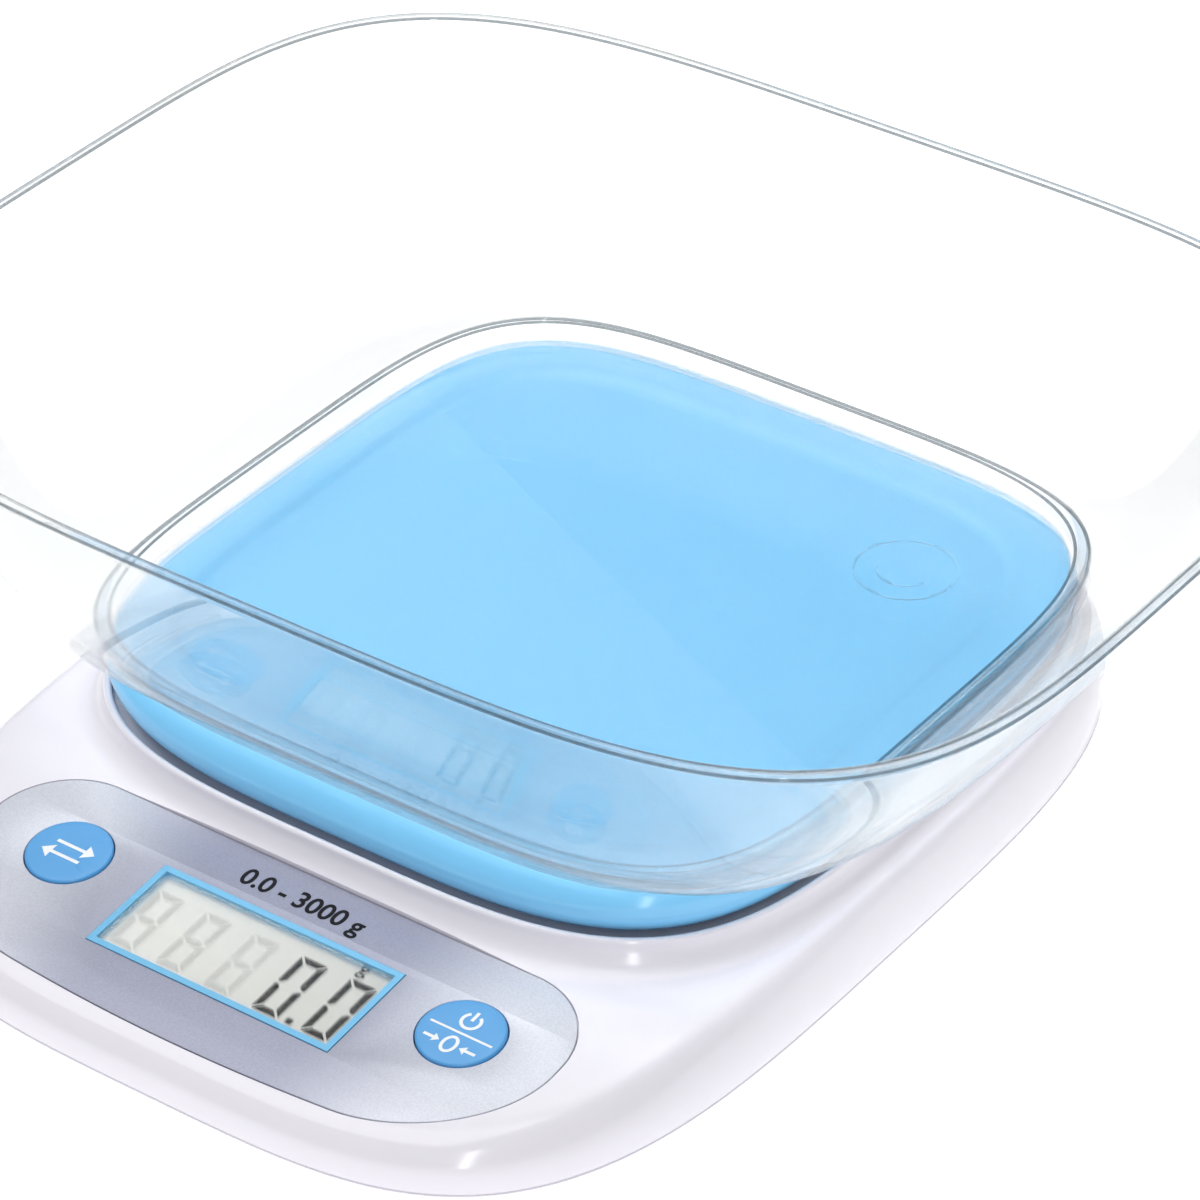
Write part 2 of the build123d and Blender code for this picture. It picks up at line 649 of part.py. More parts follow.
BAY_LENGTH = BAY_END - BAY_FRONT
BAY_MID = (BAY_END + BAY_FRONT) / 2
with BuildPart() as lower_housing:
    for drop in BASE_DROPS:
        with BuildSketch(Plane.XY.offset(base_level(drop))):
            with Locations((0, HOUSING_Y)):
                Superellipse(*lower_half(base_tuck(drop)), HOUSING_POWER)
    loft(ruled=True)
    add(tray_cavity.part, mode=Mode.SUBTRACT)
    # battery bay: outer box, then its hollow, then the rib that carries the bridge contact
    with BuildSketch(Plane.XY.offset(FLOOR_TOP)):
        with Locations((BAY_X, BAY_MID)):
            Rectangle(2 * (BAY_HALF + BAY_WALL), BAY_LENGTH + 2 * BAY_WALL)
    extrude(amount=BAY_ROOF_Z + BAY_WALL - FLOOR_TOP)
    with BuildSketch(Plane.XY.offset(FOOT_HEIGHT)):
        with Locations((BAY_X, BAY_MID)):
            Rectangle(2 * BAY_HALF, BAY_LENGTH)
    extrude(amount=BAY_ROOF_Z - FOOT_HEIGHT, mode=Mode.SUBTRACT)
    with BuildSketch(Plane.XY.offset(FLOOR_TOP)):
        with Locations((BAY_X, RIB_Y + 0.6)):
            Rectangle(2 * BAY_HALF, 1.2)
    extrude(amount=BAY_ROOF_Z - FLOOR_TOP)
    # hinge sockets for the door's pins, and slots for the front contacts
    with BuildSketch(Plane.YZ.offset(BAY_X - BAY_HALF - 1.3)):
        with Locations((PIVOT_Y, PIVOT_Z)):
            Circle(1.2 + CLEAR / 2)
    extrude(amount=2 * (BAY_HALF + 1.3), mode=Mode.SUBTRACT)
    with BuildSketch(Plane.XY.offset(CELL_Z)):
        with Locations((BAY_X, BAY_FRONT - BAY_WALL / 2)):
            with GridLocations(CELL_PITCH, 1, 2, 1):
                Rectangle(3.2, 3 * BAY_WALL)
    extrude(amount=0.6, mode=Mode.SUBTRACT)
    # finger notch in front of the door
    with BuildSketch(Plane.XY.offset(FOOT_HEIGHT)):
        with Locations((BAY_X, BAY_FRONT - 3)):
            SlotOverall(16, 6)
    extrude(amount=1.2, mode=Mode.SUBTRACT)
    # foot sockets
    with BuildSketch(Plane.XY.offset(FOOT_HEIGHT)):
        with Locations(*FEET.values()):
            Circle(FOOT_R + CLEAR)
    extrude(amount=FOOT_SINK, mode=Mode.SUBTRACT)
    # screw holes from below
    with BuildSketch(Plane.XY.offset(FOOT_HEIGHT)):
        with Locations(*HOUSING_SCREWS):
            Circle(HOUSING_SCREW_R + 2 * CLEAR)
        with Locations(*base_places):
            Circle(SCREW_R + CLEAR / 2)
        with Locations((0, STOP_Y)):
            Circle(STOP_R + CLEAR / 2)
    extrude(amount=PARTING_Z, mode=Mode.SUBTRACT)
    with BuildSketch(Plane.XY.offset(FOOT_HEIGHT)):
        with Locations(*HOUSING_SCREWS):
            Circle(HOUSING_SCREW_HEAD[0] + WELL_GAP)
        with Locations(*base_places):
            Circle(BEAM_SCREW_HEAD[0] + WELL_GAP)
    extrude(amount=SCREW_SINK, mode=Mode.SUBTRACT)
finish(lower_housing.part, "lower_housing")

HEAD_Z = FOOT_HEIGHT + SCREW_SINK
housing_screws = machine_screws(HOUSING_SCREWS, HEAD_Z, False, HOUSING_SCREW_R, 10.0, *HOUSING_SCREW_HEAD)
finish(housing_screws, "housing_screws")
base_screws = machine_screws(base_places, HEAD_Z, False, SCREW_R, 13.0, *BEAM_SCREW_HEAD)
finish(base_screws, "base_screws")

# The overload screw stands under the beam's free end with its head just below the beam.
overload_screw = machine_screws([(0, STOP_Y)], STOP_SEAT, True, STOP_R, STOP_SHANK, 2.9, STOP_HEAD)
finish(overload_screw, "overload_screw")

for name, place in FEET.items():
    with BuildPart() as foot:
        with BuildSketch():
            with Locations(place):
                Circle(FOOT_R)
        extrude(amount=FOOT_HEIGHT + FOOT_SINK)
        chamfer(foot.faces().sort_by(Axis.Z)[0].edges(), 0.5)
    finish(foot.part, name)

# ---- battery door ---------------------------------------------------------------------------------
DOOR_HALF = BAY_HALF - DOOR_GAP
DOOR_FRONT = BAY_FRONT + DOOR_GAP
with BuildPart() as battery_door:
    with BuildSketch(Plane.YZ.offset(BAY_X - DOOR_HALF)):
        with BuildLine():
            Line((PIVOT_Y, FOOT_HEIGHT), (DOOR_FRONT, FOOT_HEIGHT))
            Line((DOOR_FRONT, FOOT_HEIGHT), (DOOR_FRONT, FOOT_HEIGHT + DOOR_THICK))
            Line((DOOR_FRONT, FOOT_HEIGHT + DOOR_THICK), (PIVOT_Y, FOOT_HEIGHT + DOOR_THICK))
            CenterArc((PIVOT_Y, PIVOT_Z), BARREL_R - DOOR_THICK, -90, 90)
            Line((PIVOT_Y + BARREL_R - DOOR_THICK, PIVOT_Z), (PIVOT_Y + BARREL_R, PIVOT_Z))
            CenterArc((PIVOT_Y, PIVOT_Z), BARREL_R, -90, 90)
        make_face()
    extrude(amount=2 * DOOR_HALF)
    # a round cheek and a pin at each side
    for start, pin_way in ((BAY_X - DOOR_HALF, -1), (BAY_X + DOOR_HALF - 1.2, 1)):
        with BuildSketch(Plane.YZ.offset(start)):
            with Locations((PIVOT_Y, PIVOT_Z)):
                Circle(BARREL_R)
        extrude(amount=1.2)
        with BuildSketch(Plane.YZ.offset(start + (1.2 if pin_way > 0 else 0))):
            with Locations((PIVOT_Y, PIVOT_Z)):
                Circle(1.2)
        extrude(amount=pin_way * 1.4)
finish(battery_door.part, "battery_door")

# ---- batteries and contacts -------------------------------------------------------------------------
CELL_X = {"battery_left": BAY_X - CELL_PITCH / 2, "battery_right": BAY_X + CELL_PITCH / 2}
CONTACT = 0.4
SPRING_LENGTH = 4.0
NUB = (1.9, 1.2)
cell_space = (BAY_FRONT + CONTACT, RIB_Y - CONTACT)
NUB_FORWARD = {"battery_left": True, "battery_right": False}
spring_spans = []
for name, cell_x in CELL_X.items():
    forward = NUB_FORWARD[name]
    body_y = cell_space[0] + NUB[1] if forward else cell_space[1] - NUB[1] - CELL_LENGTH
    nub_y = cell_space[0] if forward else cell_space[1] - NUB[1]
    with BuildPart() as cell:
        # Plane.XZ looks along -Y, so depths along +Y are negative
        with BuildSketch(Plane.XZ.offset(-body_y)):
            with Locations((cell_x, CELL_Z)):
                Circle(CELL_R)
        extrude(amount=-CELL_LENGTH)
        with BuildSketch(Plane.XZ.offset(-nub_y)):
            with Locations((cell_x, CELL_Z)):
                Circle(NUB[0])
        extrude(amount=-NUB[1])
    finish(cell.part, name)
    if forward:
        spring_spans.append((cell_x, body_y + CELL_LENGTH, cell_space[1]))
    else:
        spring_spans.append((cell_x, cell_space[0], body_y))

with BuildPart() as battery_springs:
    for spring_x, start, end in spring_spans:
        turns = 5
        for turn in range(turns):
            turn_y = start + 0.4 + (end - start - 0.8) * turn / (turns - 1)
            with Locations(Location((spring_x, turn_y, CELL_Z), (90, 0, 0))):
                Torus(3.4, 0.38)
finish(battery_springs.part, "battery_springs")


def front_contact(contact_x):
    """A plated strip on the bay's front wall with a solder tag through its slot."""
    with BuildPart() as strip:
        with BuildSketch(Plane.XZ.offset(-BAY_FRONT)):
            with Locations((contact_x, CELL_Z)):
                Rectangle(8.0, 8.0)
        extrude(amount=-CONTACT)
        with BuildSketch(Plane.XY.offset(CELL_Z + 0.1)):
            with Locations((contact_x, BAY_FRONT - BAY_WALL / 2 - 0.5)):
                Rectangle(3.0, BAY_WALL + 1.4)
        extrude(amount=CONTACT)
    return strip.part


finish(front_contact(CELL_X["battery_left"]), "positive_contact")
finish(front_contact(CELL_X["battery_right"]), "negative_contact")

with BuildPart() as bridge_contact:
    with BuildSketch(Plane.XZ.offset(-(RIB_Y - CONTACT))):
        with Locations((BAY_X, CELL_Z)):
            Rectangle(CELL_PITCH + 9, 8.0)
    extrude(amount=-CONTACT)
finish(bridge_contact.part, "bridge_contact")

# ---- internal wires -----------------------------------------------------------------------------------
BOARD_EDGE_Y = PANEL_ORIGIN[1] + 14.6
LANDING_Z = PANEL_ORIGIN[2] + 14.6 * SLOPE + BOARD_TOP * 1.006 + 0.12
WIRE_HIGH_Z = 18.6


def wires(routes):
    """Insulated wires along straight runs joined by tangent arcs."""
    with BuildPart() as loom:
        for route in routes:
            with BuildLine() as path:
                FilletPolyline(*route, radius=2.5)
            with BuildSketch(path.line ^ 0):
                Circle(WIRE_R)
            sweep()
    return loom.part


cell_routes = []
for index in range(4):
    x = (index - 1.5) * 1.3
    beam_z = BEAM_Z + BEAM[2] + 0.1 + 0.5 + WIRE_R + 0.05
    cell_routes.append([(x, PLATFORM_Y - 10, beam_z), (x, -34, beam_z), (x, -46, WIRE_HIGH_Z),
                        (x, BOARD_EDGE_Y, WIRE_HIGH_Z), (x, BOARD_EDGE_Y, LANDING_Z)])
finish(wires(cell_routes), "load_cell_wires")

battery_routes = []
for cell_x, land_x in zip(CELL_X.values(), (34.5, 41.0)):
    tag_y = BAY_FRONT - BAY_WALL - 1.0
    wire_z = CELL_Z + 0.1 + CONTACT + WIRE_R
    battery_routes.append([(cell_x, tag_y, wire_z), (cell_x, -40, wire_z), (land_x, -52, WIRE_HIGH_Z),
                           (land_x, BOARD_EDGE_Y, WIRE_HIGH_Z), (land_x, BOARD_EDGE_Y, LANDING_Z)])
finish(wires(battery_routes), "battery_wires")
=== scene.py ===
import json
import math

import bpy
import numpy as np
from bpy.props import FloatProperty, FloatVectorProperty, PointerProperty, StringProperty
from mathutils import Matrix, Vector


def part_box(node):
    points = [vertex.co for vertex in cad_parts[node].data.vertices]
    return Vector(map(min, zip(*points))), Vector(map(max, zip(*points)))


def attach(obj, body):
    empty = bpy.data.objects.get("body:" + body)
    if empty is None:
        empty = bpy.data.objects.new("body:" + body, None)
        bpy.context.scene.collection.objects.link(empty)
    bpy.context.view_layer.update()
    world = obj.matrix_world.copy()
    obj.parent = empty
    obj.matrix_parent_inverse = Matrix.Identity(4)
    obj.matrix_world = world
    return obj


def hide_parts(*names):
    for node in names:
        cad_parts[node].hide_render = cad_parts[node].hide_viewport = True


bl_info = {
    "name": "Gram Scale With Bowl",
    "version": (1, 0, 0),
    "blender": (4, 5, 0),
    "location": "View3D > Sidebar > Gram Scale",
    "description": "Builds the shells, bowl, display and finishes of a digital gram scale",
    "category": "Object",
}

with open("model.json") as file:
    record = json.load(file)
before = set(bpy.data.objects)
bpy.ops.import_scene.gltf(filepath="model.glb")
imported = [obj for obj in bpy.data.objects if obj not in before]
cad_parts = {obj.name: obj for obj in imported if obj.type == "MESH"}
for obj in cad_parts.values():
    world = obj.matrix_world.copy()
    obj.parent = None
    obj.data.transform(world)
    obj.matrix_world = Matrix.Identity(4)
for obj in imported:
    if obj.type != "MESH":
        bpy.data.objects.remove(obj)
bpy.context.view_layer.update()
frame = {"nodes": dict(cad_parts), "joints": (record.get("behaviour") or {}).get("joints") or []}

MM = 0.001
AROUND = 480
TURN = np.arange(AROUND) * 2 * math.pi / AROUND


# ---- places taken from the frame --------------------------------------------------------------
def middle(node):
    """The centre of a CAD node's box."""
    low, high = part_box(node)
    return (low + high) / 2


def halves(node):
    """Half the width and half the depth of a CAD node's box."""
    low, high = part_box(node)
    return (high.x - low.x) / 2, (high.y - low.y) / 2


def joint(name):
    """A joint of the packed record."""
    return next(j for j in frame["joints"] if j["name"] == name)


PLATFORM_Y = middle("platform").y
HOUSING_Y = middle("upper_housing").y
HOUSING_HALF = halves("upper_housing")
PARTING_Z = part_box("upper_housing")[0].z
LIP_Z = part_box("upper_housing")[1].z
FLOOR_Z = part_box("lower_housing")[0].z
HUB_Y = middle("top_spacer").y
PANEL_UP = -Vector(joint("unit_key_press")["axis"]).normalized()
PANEL_BACKWARD = PANEL_UP.cross(Vector((1, 0, 0)))
PANEL_SLOPE = PANEL_BACKWARD.z / PANEL_BACKWARD.y


def linear(code):
    """A colour written as an sRGB hex value, in the linear light that Blender works in."""
    levels = [int(code[i:i + 2], 16) / 255 for i in (1, 3, 5)]
    return tuple(v / 12.92 if v <= 0.04045 else ((v + 0.055) / 1.055) ** 2.4 for v in levels)


def length(name, description, millimetres):
    """A length property with its default given in millimetres."""
    return FloatProperty(name=name, description=description, default=millimetres * MM, min=0.0,
                         subtype="DISTANCE", unit="LENGTH", precision=5)


def colour(name, description, code):
    """A colour property with its default given as an sRGB hex value."""
    return FloatVectorProperty(name=name, description=description, default=linear(code), size=3,
                               min=0.0, max=1.0, subtype="COLOR")


# ---- sizes and colours that a user would change -----------------------------------------------
class BowlSettings(bpy.types.PropertyGroup):
    """Sizes of the lift-off bowl."""
    wall: length("Wall", "Thickness of the bowl's wall and floor", 2.0)
    foot_height: length("Foot height", "Height of the upright foot below the flare", 3.5)
    foot_inset: length("Foot inset", "How far the floor's edge is in from the foot's top", 1.2)
    foot_round: length("Foot round", "Radius under the foot", 1.1)
    shoulder_x: length("Shoulder half width", "Half width where the flare starts", 67.2)
    shoulder_y: length("Shoulder half depth", "Half depth where the flare starts", 67.1)
    flare: FloatProperty(name="Flare", description="Power of the wall's curve: lower opens out sooner",
                         default=0.52, min=0.3, max=1.5)
    foot_power: FloatProperty(name="Foot squareness", default=4.4,
                              description="Superellipse power at the foot")
    rim_power: FloatProperty(name="Rim squareness", default=3.95,
                             description="Superellipse power at the rim")
    tint: colour("Tint", "Colour of light that has passed through the plastic", "#FDFEFE")
    # the beads are grey-tinted tubes: painted shade lines along the rim and shoulder, where light bending in
    # the clear wall darkens it
    edge: length("Edge", "Radius of the fine beads along the rim and the shoulder", 0.24)
    bead_shade_tint: colour("Edge tint", "Colour of light that has passed through a bead", "#C6CACC")
    mark_radius: length("Floor mark", "Radius of the ring moulded on the floor", 8.5)
    mark_x: length("Mark, across", "How far the ring is to the right of the bowl's centre", 38.0)
    mark_y: length("Mark, back", "How far the ring is behind the bowl's centre", 33.0)


class PlatformSettings(bpy.types.PropertyGroup):
    """Sizes and colour of the weighing platform."""
    top_tuck_x: length("Side tuck", "How far the sides come in at the top edge", 2.2)
    top_tuck_y: length("End tuck", "How far the front and back come in at the top edge", 4.7)
    foot_tuck: length("Foot tuck", "How far the wall comes in at its lower edge", 1.2)
    waist: length("Widest level", "Height of the widest level over the lower edge", 3.5)
    field_inset: length("Border", "Width of the border round the shallow field", 6.2)
    field_step: length("Step", "Width of the slope down into the field", 2.4)
    field_depth: length("Field depth", "Depth of the field under the border", 0.8)
    wall: length("Wall", "Thickness of the platform's wall", 2.2)
    top_thick: length("Top thickness", "From the border down to the ceiling inside", 3.0)
    air: length("Air", "Hair-thin gap left under the bowl's floor", 0.06)
    body: colour("Body", "Colour of the moulded plastic", "#82CFFD")


class HousingSettings(bpy.types.PropertyGroup):
    """Sizes and colours of the cover and the base."""
    power: FloatProperty(name="Squareness", description="Superellipse power of the outline", default=3.7)
    wall: length("Wall", "Thickness of the walls", 2.2)
    lip_half_x: length("Lip half width", "Half width of the raised lip", 66.9)
    lip_half_y: length("Lip half depth", "Half depth of the raised lip", 69.9)
    lip_power: FloatProperty(name="Lip squareness", description="Superellipse power of the lip", default=3.75)
    lip_width: length("Lip width", "Width of the lip's top", 1.2)
    recess_depth: length("Recess depth", "Depth of the platform's recess under the lip", 3.0)
    level_top: length("Level top", "Height of the level part of the cover over the table", 24.0)
    knee: length("Knee", "How softly the panel's slope meets the level top", 0.25)
    fillet: length("Plinth fillet", "Radius of the hollow between the plinth and the top", 4.2)
    edge_round: length("Edge round", "Width of the round at the outer edge", 5.0)
    band_top: length("Band top", "Height of the upright band over the parting line", 3.6)
    tuck: length("Tuck", "How far the base leans in by its lowest level", 15.5)
    cover: colour("Cover", "Colour of the cover", "#F1EEF6")
    base: colour("Base", "Colour of the base", "#E9E7EF")


class PanelSettings(bpy.types.PropertyGroup):
    """Sizes and colours of the control panel."""
    half_width: length("Half width", "Half width of the panel", 55.0)
    back: length("Back", "From the display's centre to the back edge", 19.8)
    front: length("Front", "From the display's centre to the front edge", 20.4)
    back_round: length("Back corner", "Radius of the back corners", 14.0)
    front_round: length("Front corner", "Radius of the front corners", 24.0)
    bow: length("Bow", "How far the front edge bows out", 4.5)
    thick: length("Thickness", "Thickness of the overlay", 1.0)
    bevel: length("Bevel", "Bevel along the overlay's edges", 0.12)
    mark_size: length("Marking", "Size of the figures over the display", 4.9)
    mark_base: length("Marking's line", "From the display's centre to the foot of the figures", 12.8)
    gap: length("Gap", "Gap round the overlay", 0.25)
    # painted sheen at the panel's ends and painted shade in its middle, for how light falls along the silver
    silver_painted_sheen: colour("Silver, ends", "Colour at the panel's ends", "#DADDE7")
    silver_painted_shade: colour("Silver, middle", "Colour in the panel's middle", "#9C9FB4")
    border: colour("Border", "Colour of the display's border", "#74C4F0")
    key: colour("Key", "Colour of the keys", "#58A9E8")


class DisplaySettings(bpy.types.PropertyGroup):
    """Sizes of the figures on the display."""
    reading: StringProperty(name="Reading", description="Five places: digits, or a dash for an idle one",
                            default="---00")
    digit_width: length("Digit width", "Width of a digit", 5.1)
    digit_height: length("Digit height", "Height of a digit", 13.0)
    stroke: length("Stroke", "Width of a segment", 1.25)
    point: length("Point", "Width of the decimal point", 1.2)
    slit: length("Slit", "Gap between neighbouring segments", 0.28)
    pitch: length("Pitch", "From one digit to the next", 9.36)
    first: length("Margin", "From the left edge of the glass to the first digit", 2.0)
    base: length("Baseline", "How far the digits' feet are under the centre", 7.3)


class StudioSettings(bpy.types.PropertyGroup):
    """Floor and light."""
    floor: colour("Floor", "Colour of the floor", "#FBFBFC")
    floor_glow: FloatProperty(name="Floor glow", default=0.4,
                              description="Light that the floor gives from under the object")
    glow_reach: length("Glow", "How far from the object the floor's own light starts to fade", 340.0)
    glow_end: length("Glow's end", "How far from the object the floor's own light ends", 700.0)
    sky: FloatProperty(name="Fill", description="Strength of the even light from all round", default=0.29)
    key_power: FloatProperty(name="Top light", description="Power of the large light overhead", default=9.2,
                             subtype="POWER", unit="POWER")
    strip_power: FloatProperty(name="Strip light", description="Power of the tall light beside the camera",
                               default=4.6, subtype="POWER", unit="POWER")


SETTINGS = {"scale_bowl": BowlSettings, "scale_platform": PlatformSettings, "scale_housing": HousingSettings,
            "scale_panel": PanelSettings, "scale_display": DisplaySettings, "scale_studio": StudioSettings}


# ---- surfaces ---------------------------------------------------------------------------------
def superellipse(half_x, half_y, power, angle):
    """Points of |x / half_x|^power + |y / half_y|^power = 1: a unit ray at each angle is drawn out until
    it meets that curve, then stretched to the half sizes."""
    reach = (np.abs(np.cos(angle)) ** power + np.abs(np.sin(angle)) ** power) ** (-1 / power)
    return half_x * reach * np.cos(angle), half_y * reach * np.sin(angle)


def rings(half_x, half_y, power, level, centre_y):
    """A grid of superellipse rings, one for each entry of the profile arrays, as (rings, points, 3)."""
    profile = [np.atleast_1d(v) for v in (half_x, half_y, power, level)]
    half_x, half_y, power, level = np.broadcast_arrays(*profile)
    x, y = superellipse(half_x[:, None], half_y[:, None], power[:, None], TURN[None, :])
    return np.stack([x, y + centre_y, np.broadcast_to(level[:, None], x.shape)], -1)


def volume(points, faces):
    """The signed volume inside quads and triangles: six times it is the sum of a . (b x c) over triangles."""
    quads = np.array([f if len(f) == 4 else (*f, f[2]) for f in faces])
    a, b, c, d = (points[quads[:, i]] for i in range(4))
    return (np.einsum("ij,ij->", a, np.cross(b, c)) + np.einsum("ij,ij->", a, np.cross(c, d))) / 6


def new_piece(name, points, faces, crease=35.0):
    """A mesh object at the origin, smooth except at creases sharper than the angle in degrees."""
    mesh = bpy.data.meshes.new(name)
    mesh.from_pydata(points.tolist(), [], faces)
    piece = bpy.data.objects.new(name, mesh)
    bpy.context.scene.collection.objects.link(piece)
    shade(piece, crease)
    return piece


def shade(piece, crease=35.0):
    """Smooth shading with sharp creases."""
    mesh = piece.data
    mesh.validate()
    mesh.polygons.foreach_set("use_smooth", np.ones(len(mesh.polygons), bool))
    mesh.set_sharp_from_angle(angle=math.radians(crease))
    mesh.update()


def ring_piece(name, grid, loop=False, crease=35.0):
    """A closed shell from a grid of rings. With loop, the last ring joins the first; otherwise each end
    closes on a point at the middle of its ring."""
    count, around, _ = grid.shape
    index = np.arange(count * around).reshape(count, around)
    points = grid.reshape(-1, 3)
    lower, upper = (index, np.roll(index, -1, 0)) if loop else (index[:-1], index[1:])
    quads = np.stack([lower, np.roll(lower, -1, 1), np.roll(upper, -1, 1), upper], -1).reshape(-1, 4)
    faces = quads.tolist()
    if not loop:
        poles = grid[[0, -1]].mean(1)
        points = np.vstack([points, poles])
        first, last = index[0], index[-1]
        start = np.stack([np.roll(first, -1), first, np.full(around, len(points) - 2)], -1)
        end = np.stack([last, np.roll(last, -1), np.full(around, len(points) - 1)], -1)
        faces += start.tolist() + end.tolist()
    if volume(points, faces) < 0:
        faces = [f[::-1] for f in faces]
    return new_piece(name, points, faces, crease)


def prisms(name, outlines, low, high, place, crease=35.0):
    """Closed prisms between two heights, one from each flat outline, put in place by a matrix."""
    points, faces = [], []
    for outline in outlines:
        outline = np.asarray(outline, float)
        after = np.roll(outline, -1, 0)
        if (outline[:, 0] * after[:, 1] - outline[:, 1] * after[:, 0]).sum() < 0:
            outline = outline[::-1]
        start, count = sum(len(p) for p in points), len(outline)
        low_ring = np.arange(start, start + count)
        high_ring = low_ring + count
        points.append(np.column_stack([outline, np.full(count, low)]))
        points.append(np.column_stack([outline, np.full(count, high)]))
        sides = np.stack([low_ring, np.roll(low_ring, -1), np.roll(high_ring, -1), high_ring], -1)
        faces += sides.tolist() + [low_ring[::-1].tolist(), high_ring.tolist()]
    placed = np.vstack(points) @ np.array(place.to_3x3()).T + np.array(place.translation)
    return new_piece(name, placed, faces, crease)


def circle(x, y, radius, count=72):
    """A round outline."""
    angle = np.arange(count) * 2 * math.pi / count
    return np.column_stack([x + radius * np.cos(angle), y + radius * np.sin(angle)])


def rectangle(x, y, width, height):
    """A rectangular outline about a centre."""
    corners = np.array([(-1, -1), (1, -1), (1, 1), (-1, 1)])
    return corners * (width / 2, height / 2) + (x, y)


def stroke(path, width):
    """The outline of a ribbon along an open path: each point moves half the width to both sides of it."""
    path = np.asarray(path, float)
    way = np.gradient(path, axis=0)
    way /= np.linalg.norm(way, axis=1)[:, None]
    side = np.column_stack([-way[:, 1], way[:, 0]]) * width / 2
    return np.vstack([path + side, (path - side)[::-1]])


def arc(x, y, radius_x, radius_y, start, end, count=28):
    """Points along an arc between two angles in degrees."""
    angle = np.radians(np.linspace(start, end, count))
    return np.column_stack([x + radius_x * np.cos(angle), y + radius_y * np.sin(angle)])


def carve(piece, cutter, operation="DIFFERENCE"):
    """Cut one closed mesh out of another, or join it on, and keep the result as the piece's mesh."""
    change = piece.modifiers.new("carve", "BOOLEAN")
    change.object = cutter
    change.operation = operation
    change.solver = "EXACT"
    bpy.context.view_layer.update()
    carved = bpy.data.meshes.new_from_object(piece.evaluated_get(bpy.context.evaluated_depsgraph_get()))
    piece.modifiers.clear()
    if len(carved.polygons) < 12:
        raise RuntimeError(f"{piece.name} was lost while {cutter.name} was cut from it")
    piece.data = carved
    bpy.data.objects.remove(cutter)
    shade(piece)


def panel_place(node, above=0.0):
    """A matrix that stands flat outlines on the control panel, about a node's centre in plan, with its
    height counted from the panel's face."""
    across, up = Vector((1, 0, 0)), PANEL_UP
    face = middle("display_bezel") + up * DISPLAY_SINK
    at = middle(node)
    spot = at - up * ((at - face).dot(up) - above)
    return Matrix((
        (across.x, PANEL_BACKWARD.x, up.x, spot.x),
        (across.y, PANEL_BACKWARD.y, up.y, spot.y),
        (across.z, PANEL_BACKWARD.z, up.z, spot.z),
        (0, 0, 0, 1)))


# the bezel stands from 1.3 mm under the panel's face to 0.1 mm over it
DISPLAY_SINK = (1.3 - 0.1) / 2 * MM


# ---- materials --------------------------------------------------------------------------------
def add_node(tree, kind, inputs=None, **settings):
    """Add a node: settings are its own properties, inputs are values or the outputs that feed them."""
    made = tree.nodes.new(kind)
    for name, value in settings.items():
        setattr(made, name, value)
    for name, value in (inputs or {}).items():
        if isinstance(value, bpy.types.NodeSocket):
            tree.links.new(value, made.inputs[name])
        else:
            made.inputs[name].default_value = value
    return made


def new_material(name, base, roughness, **inputs):
    """A material with one Principled shader. Returns it with its tree and shader."""
    material = bpy.data.materials.new(name)
    material.use_nodes = True
    tree = material.node_tree
    shader = tree.nodes["Principled BSDF"]
    shader.inputs["Base Color"].default_value = (*base, 1)
    shader.inputs["Roughness"].default_value = roughness
    for key, value in inputs.items():
        shader.inputs[key.replace("_", " ")].default_value = value
    material.diffuse_color = (*base, 1)
    return material, tree, shader


def grain(tree, size, detail=2.0, rough=0.5):
    """Noise on Object coordinates whose blotches are about a size in metres across."""
    place = add_node(tree, "ShaderNodeTexCoord")
    return add_node(tree, "ShaderNodeTexNoise", {"Vector": place.outputs["Object"], "Scale": 1 / size,
                                                  "Detail": detail, "Roughness": rough})


def vary(tree, shader, noise, base, spread, rough_low, rough_high):
    """Let noise shift the colour a little to both sides and move the roughness between two values."""
    low = tuple(max(0.0, c * (1 - spread)) for c in base)
    high = tuple(min(1.0, c * (1 + spread)) for c in base)
    mix = add_node(tree, "ShaderNodeMix", {0: noise.outputs["Fac"], 6: (*low, 1), 7: (*high, 1)},
                   data_type="RGBA")
    tree.links.new(mix.outputs[2], shader.inputs["Base Color"])
    gloss = add_node(tree, "ShaderNodeMapRange", {"Value": noise.outputs["Fac"], "From Min": 0.3,
                                                  "From Max": 0.7, "To Min": rough_low,
                                                  "To Max": rough_high})
    tree.links.new(gloss.outputs["Result"], shader.inputs["Roughness"])


def relief(tree, shader, noise, height, strength=1.0):
    """Raise the surface by noise: height in metres between its valleys and peaks."""
    bump = add_node(tree, "ShaderNodeBump", {"Height": noise.outputs["Fac"], "Distance": height,
                                             "Strength": strength})
    tree.links.new(bump.outputs["Normal"], shader.inputs["Normal"])
    return bump


def moulded_abs(name, base, gloss, texture, depth):
    """Injection-moulded ABS: smooth from a polished tool, with a broad swim in its gloss where the melt
    cooled unevenly and a fine texture that breaks up the sharpest reflections."""
    material, tree, shader = new_material(name, base, gloss, IOR=1.54)
    vary(tree, shader, grain(tree, 22 * MM), base, 0.012, gloss * 0.85, gloss * 1.2)
    relief(tree, shader, grain(tree, texture * MM, 3.0), depth * MM)
    return material


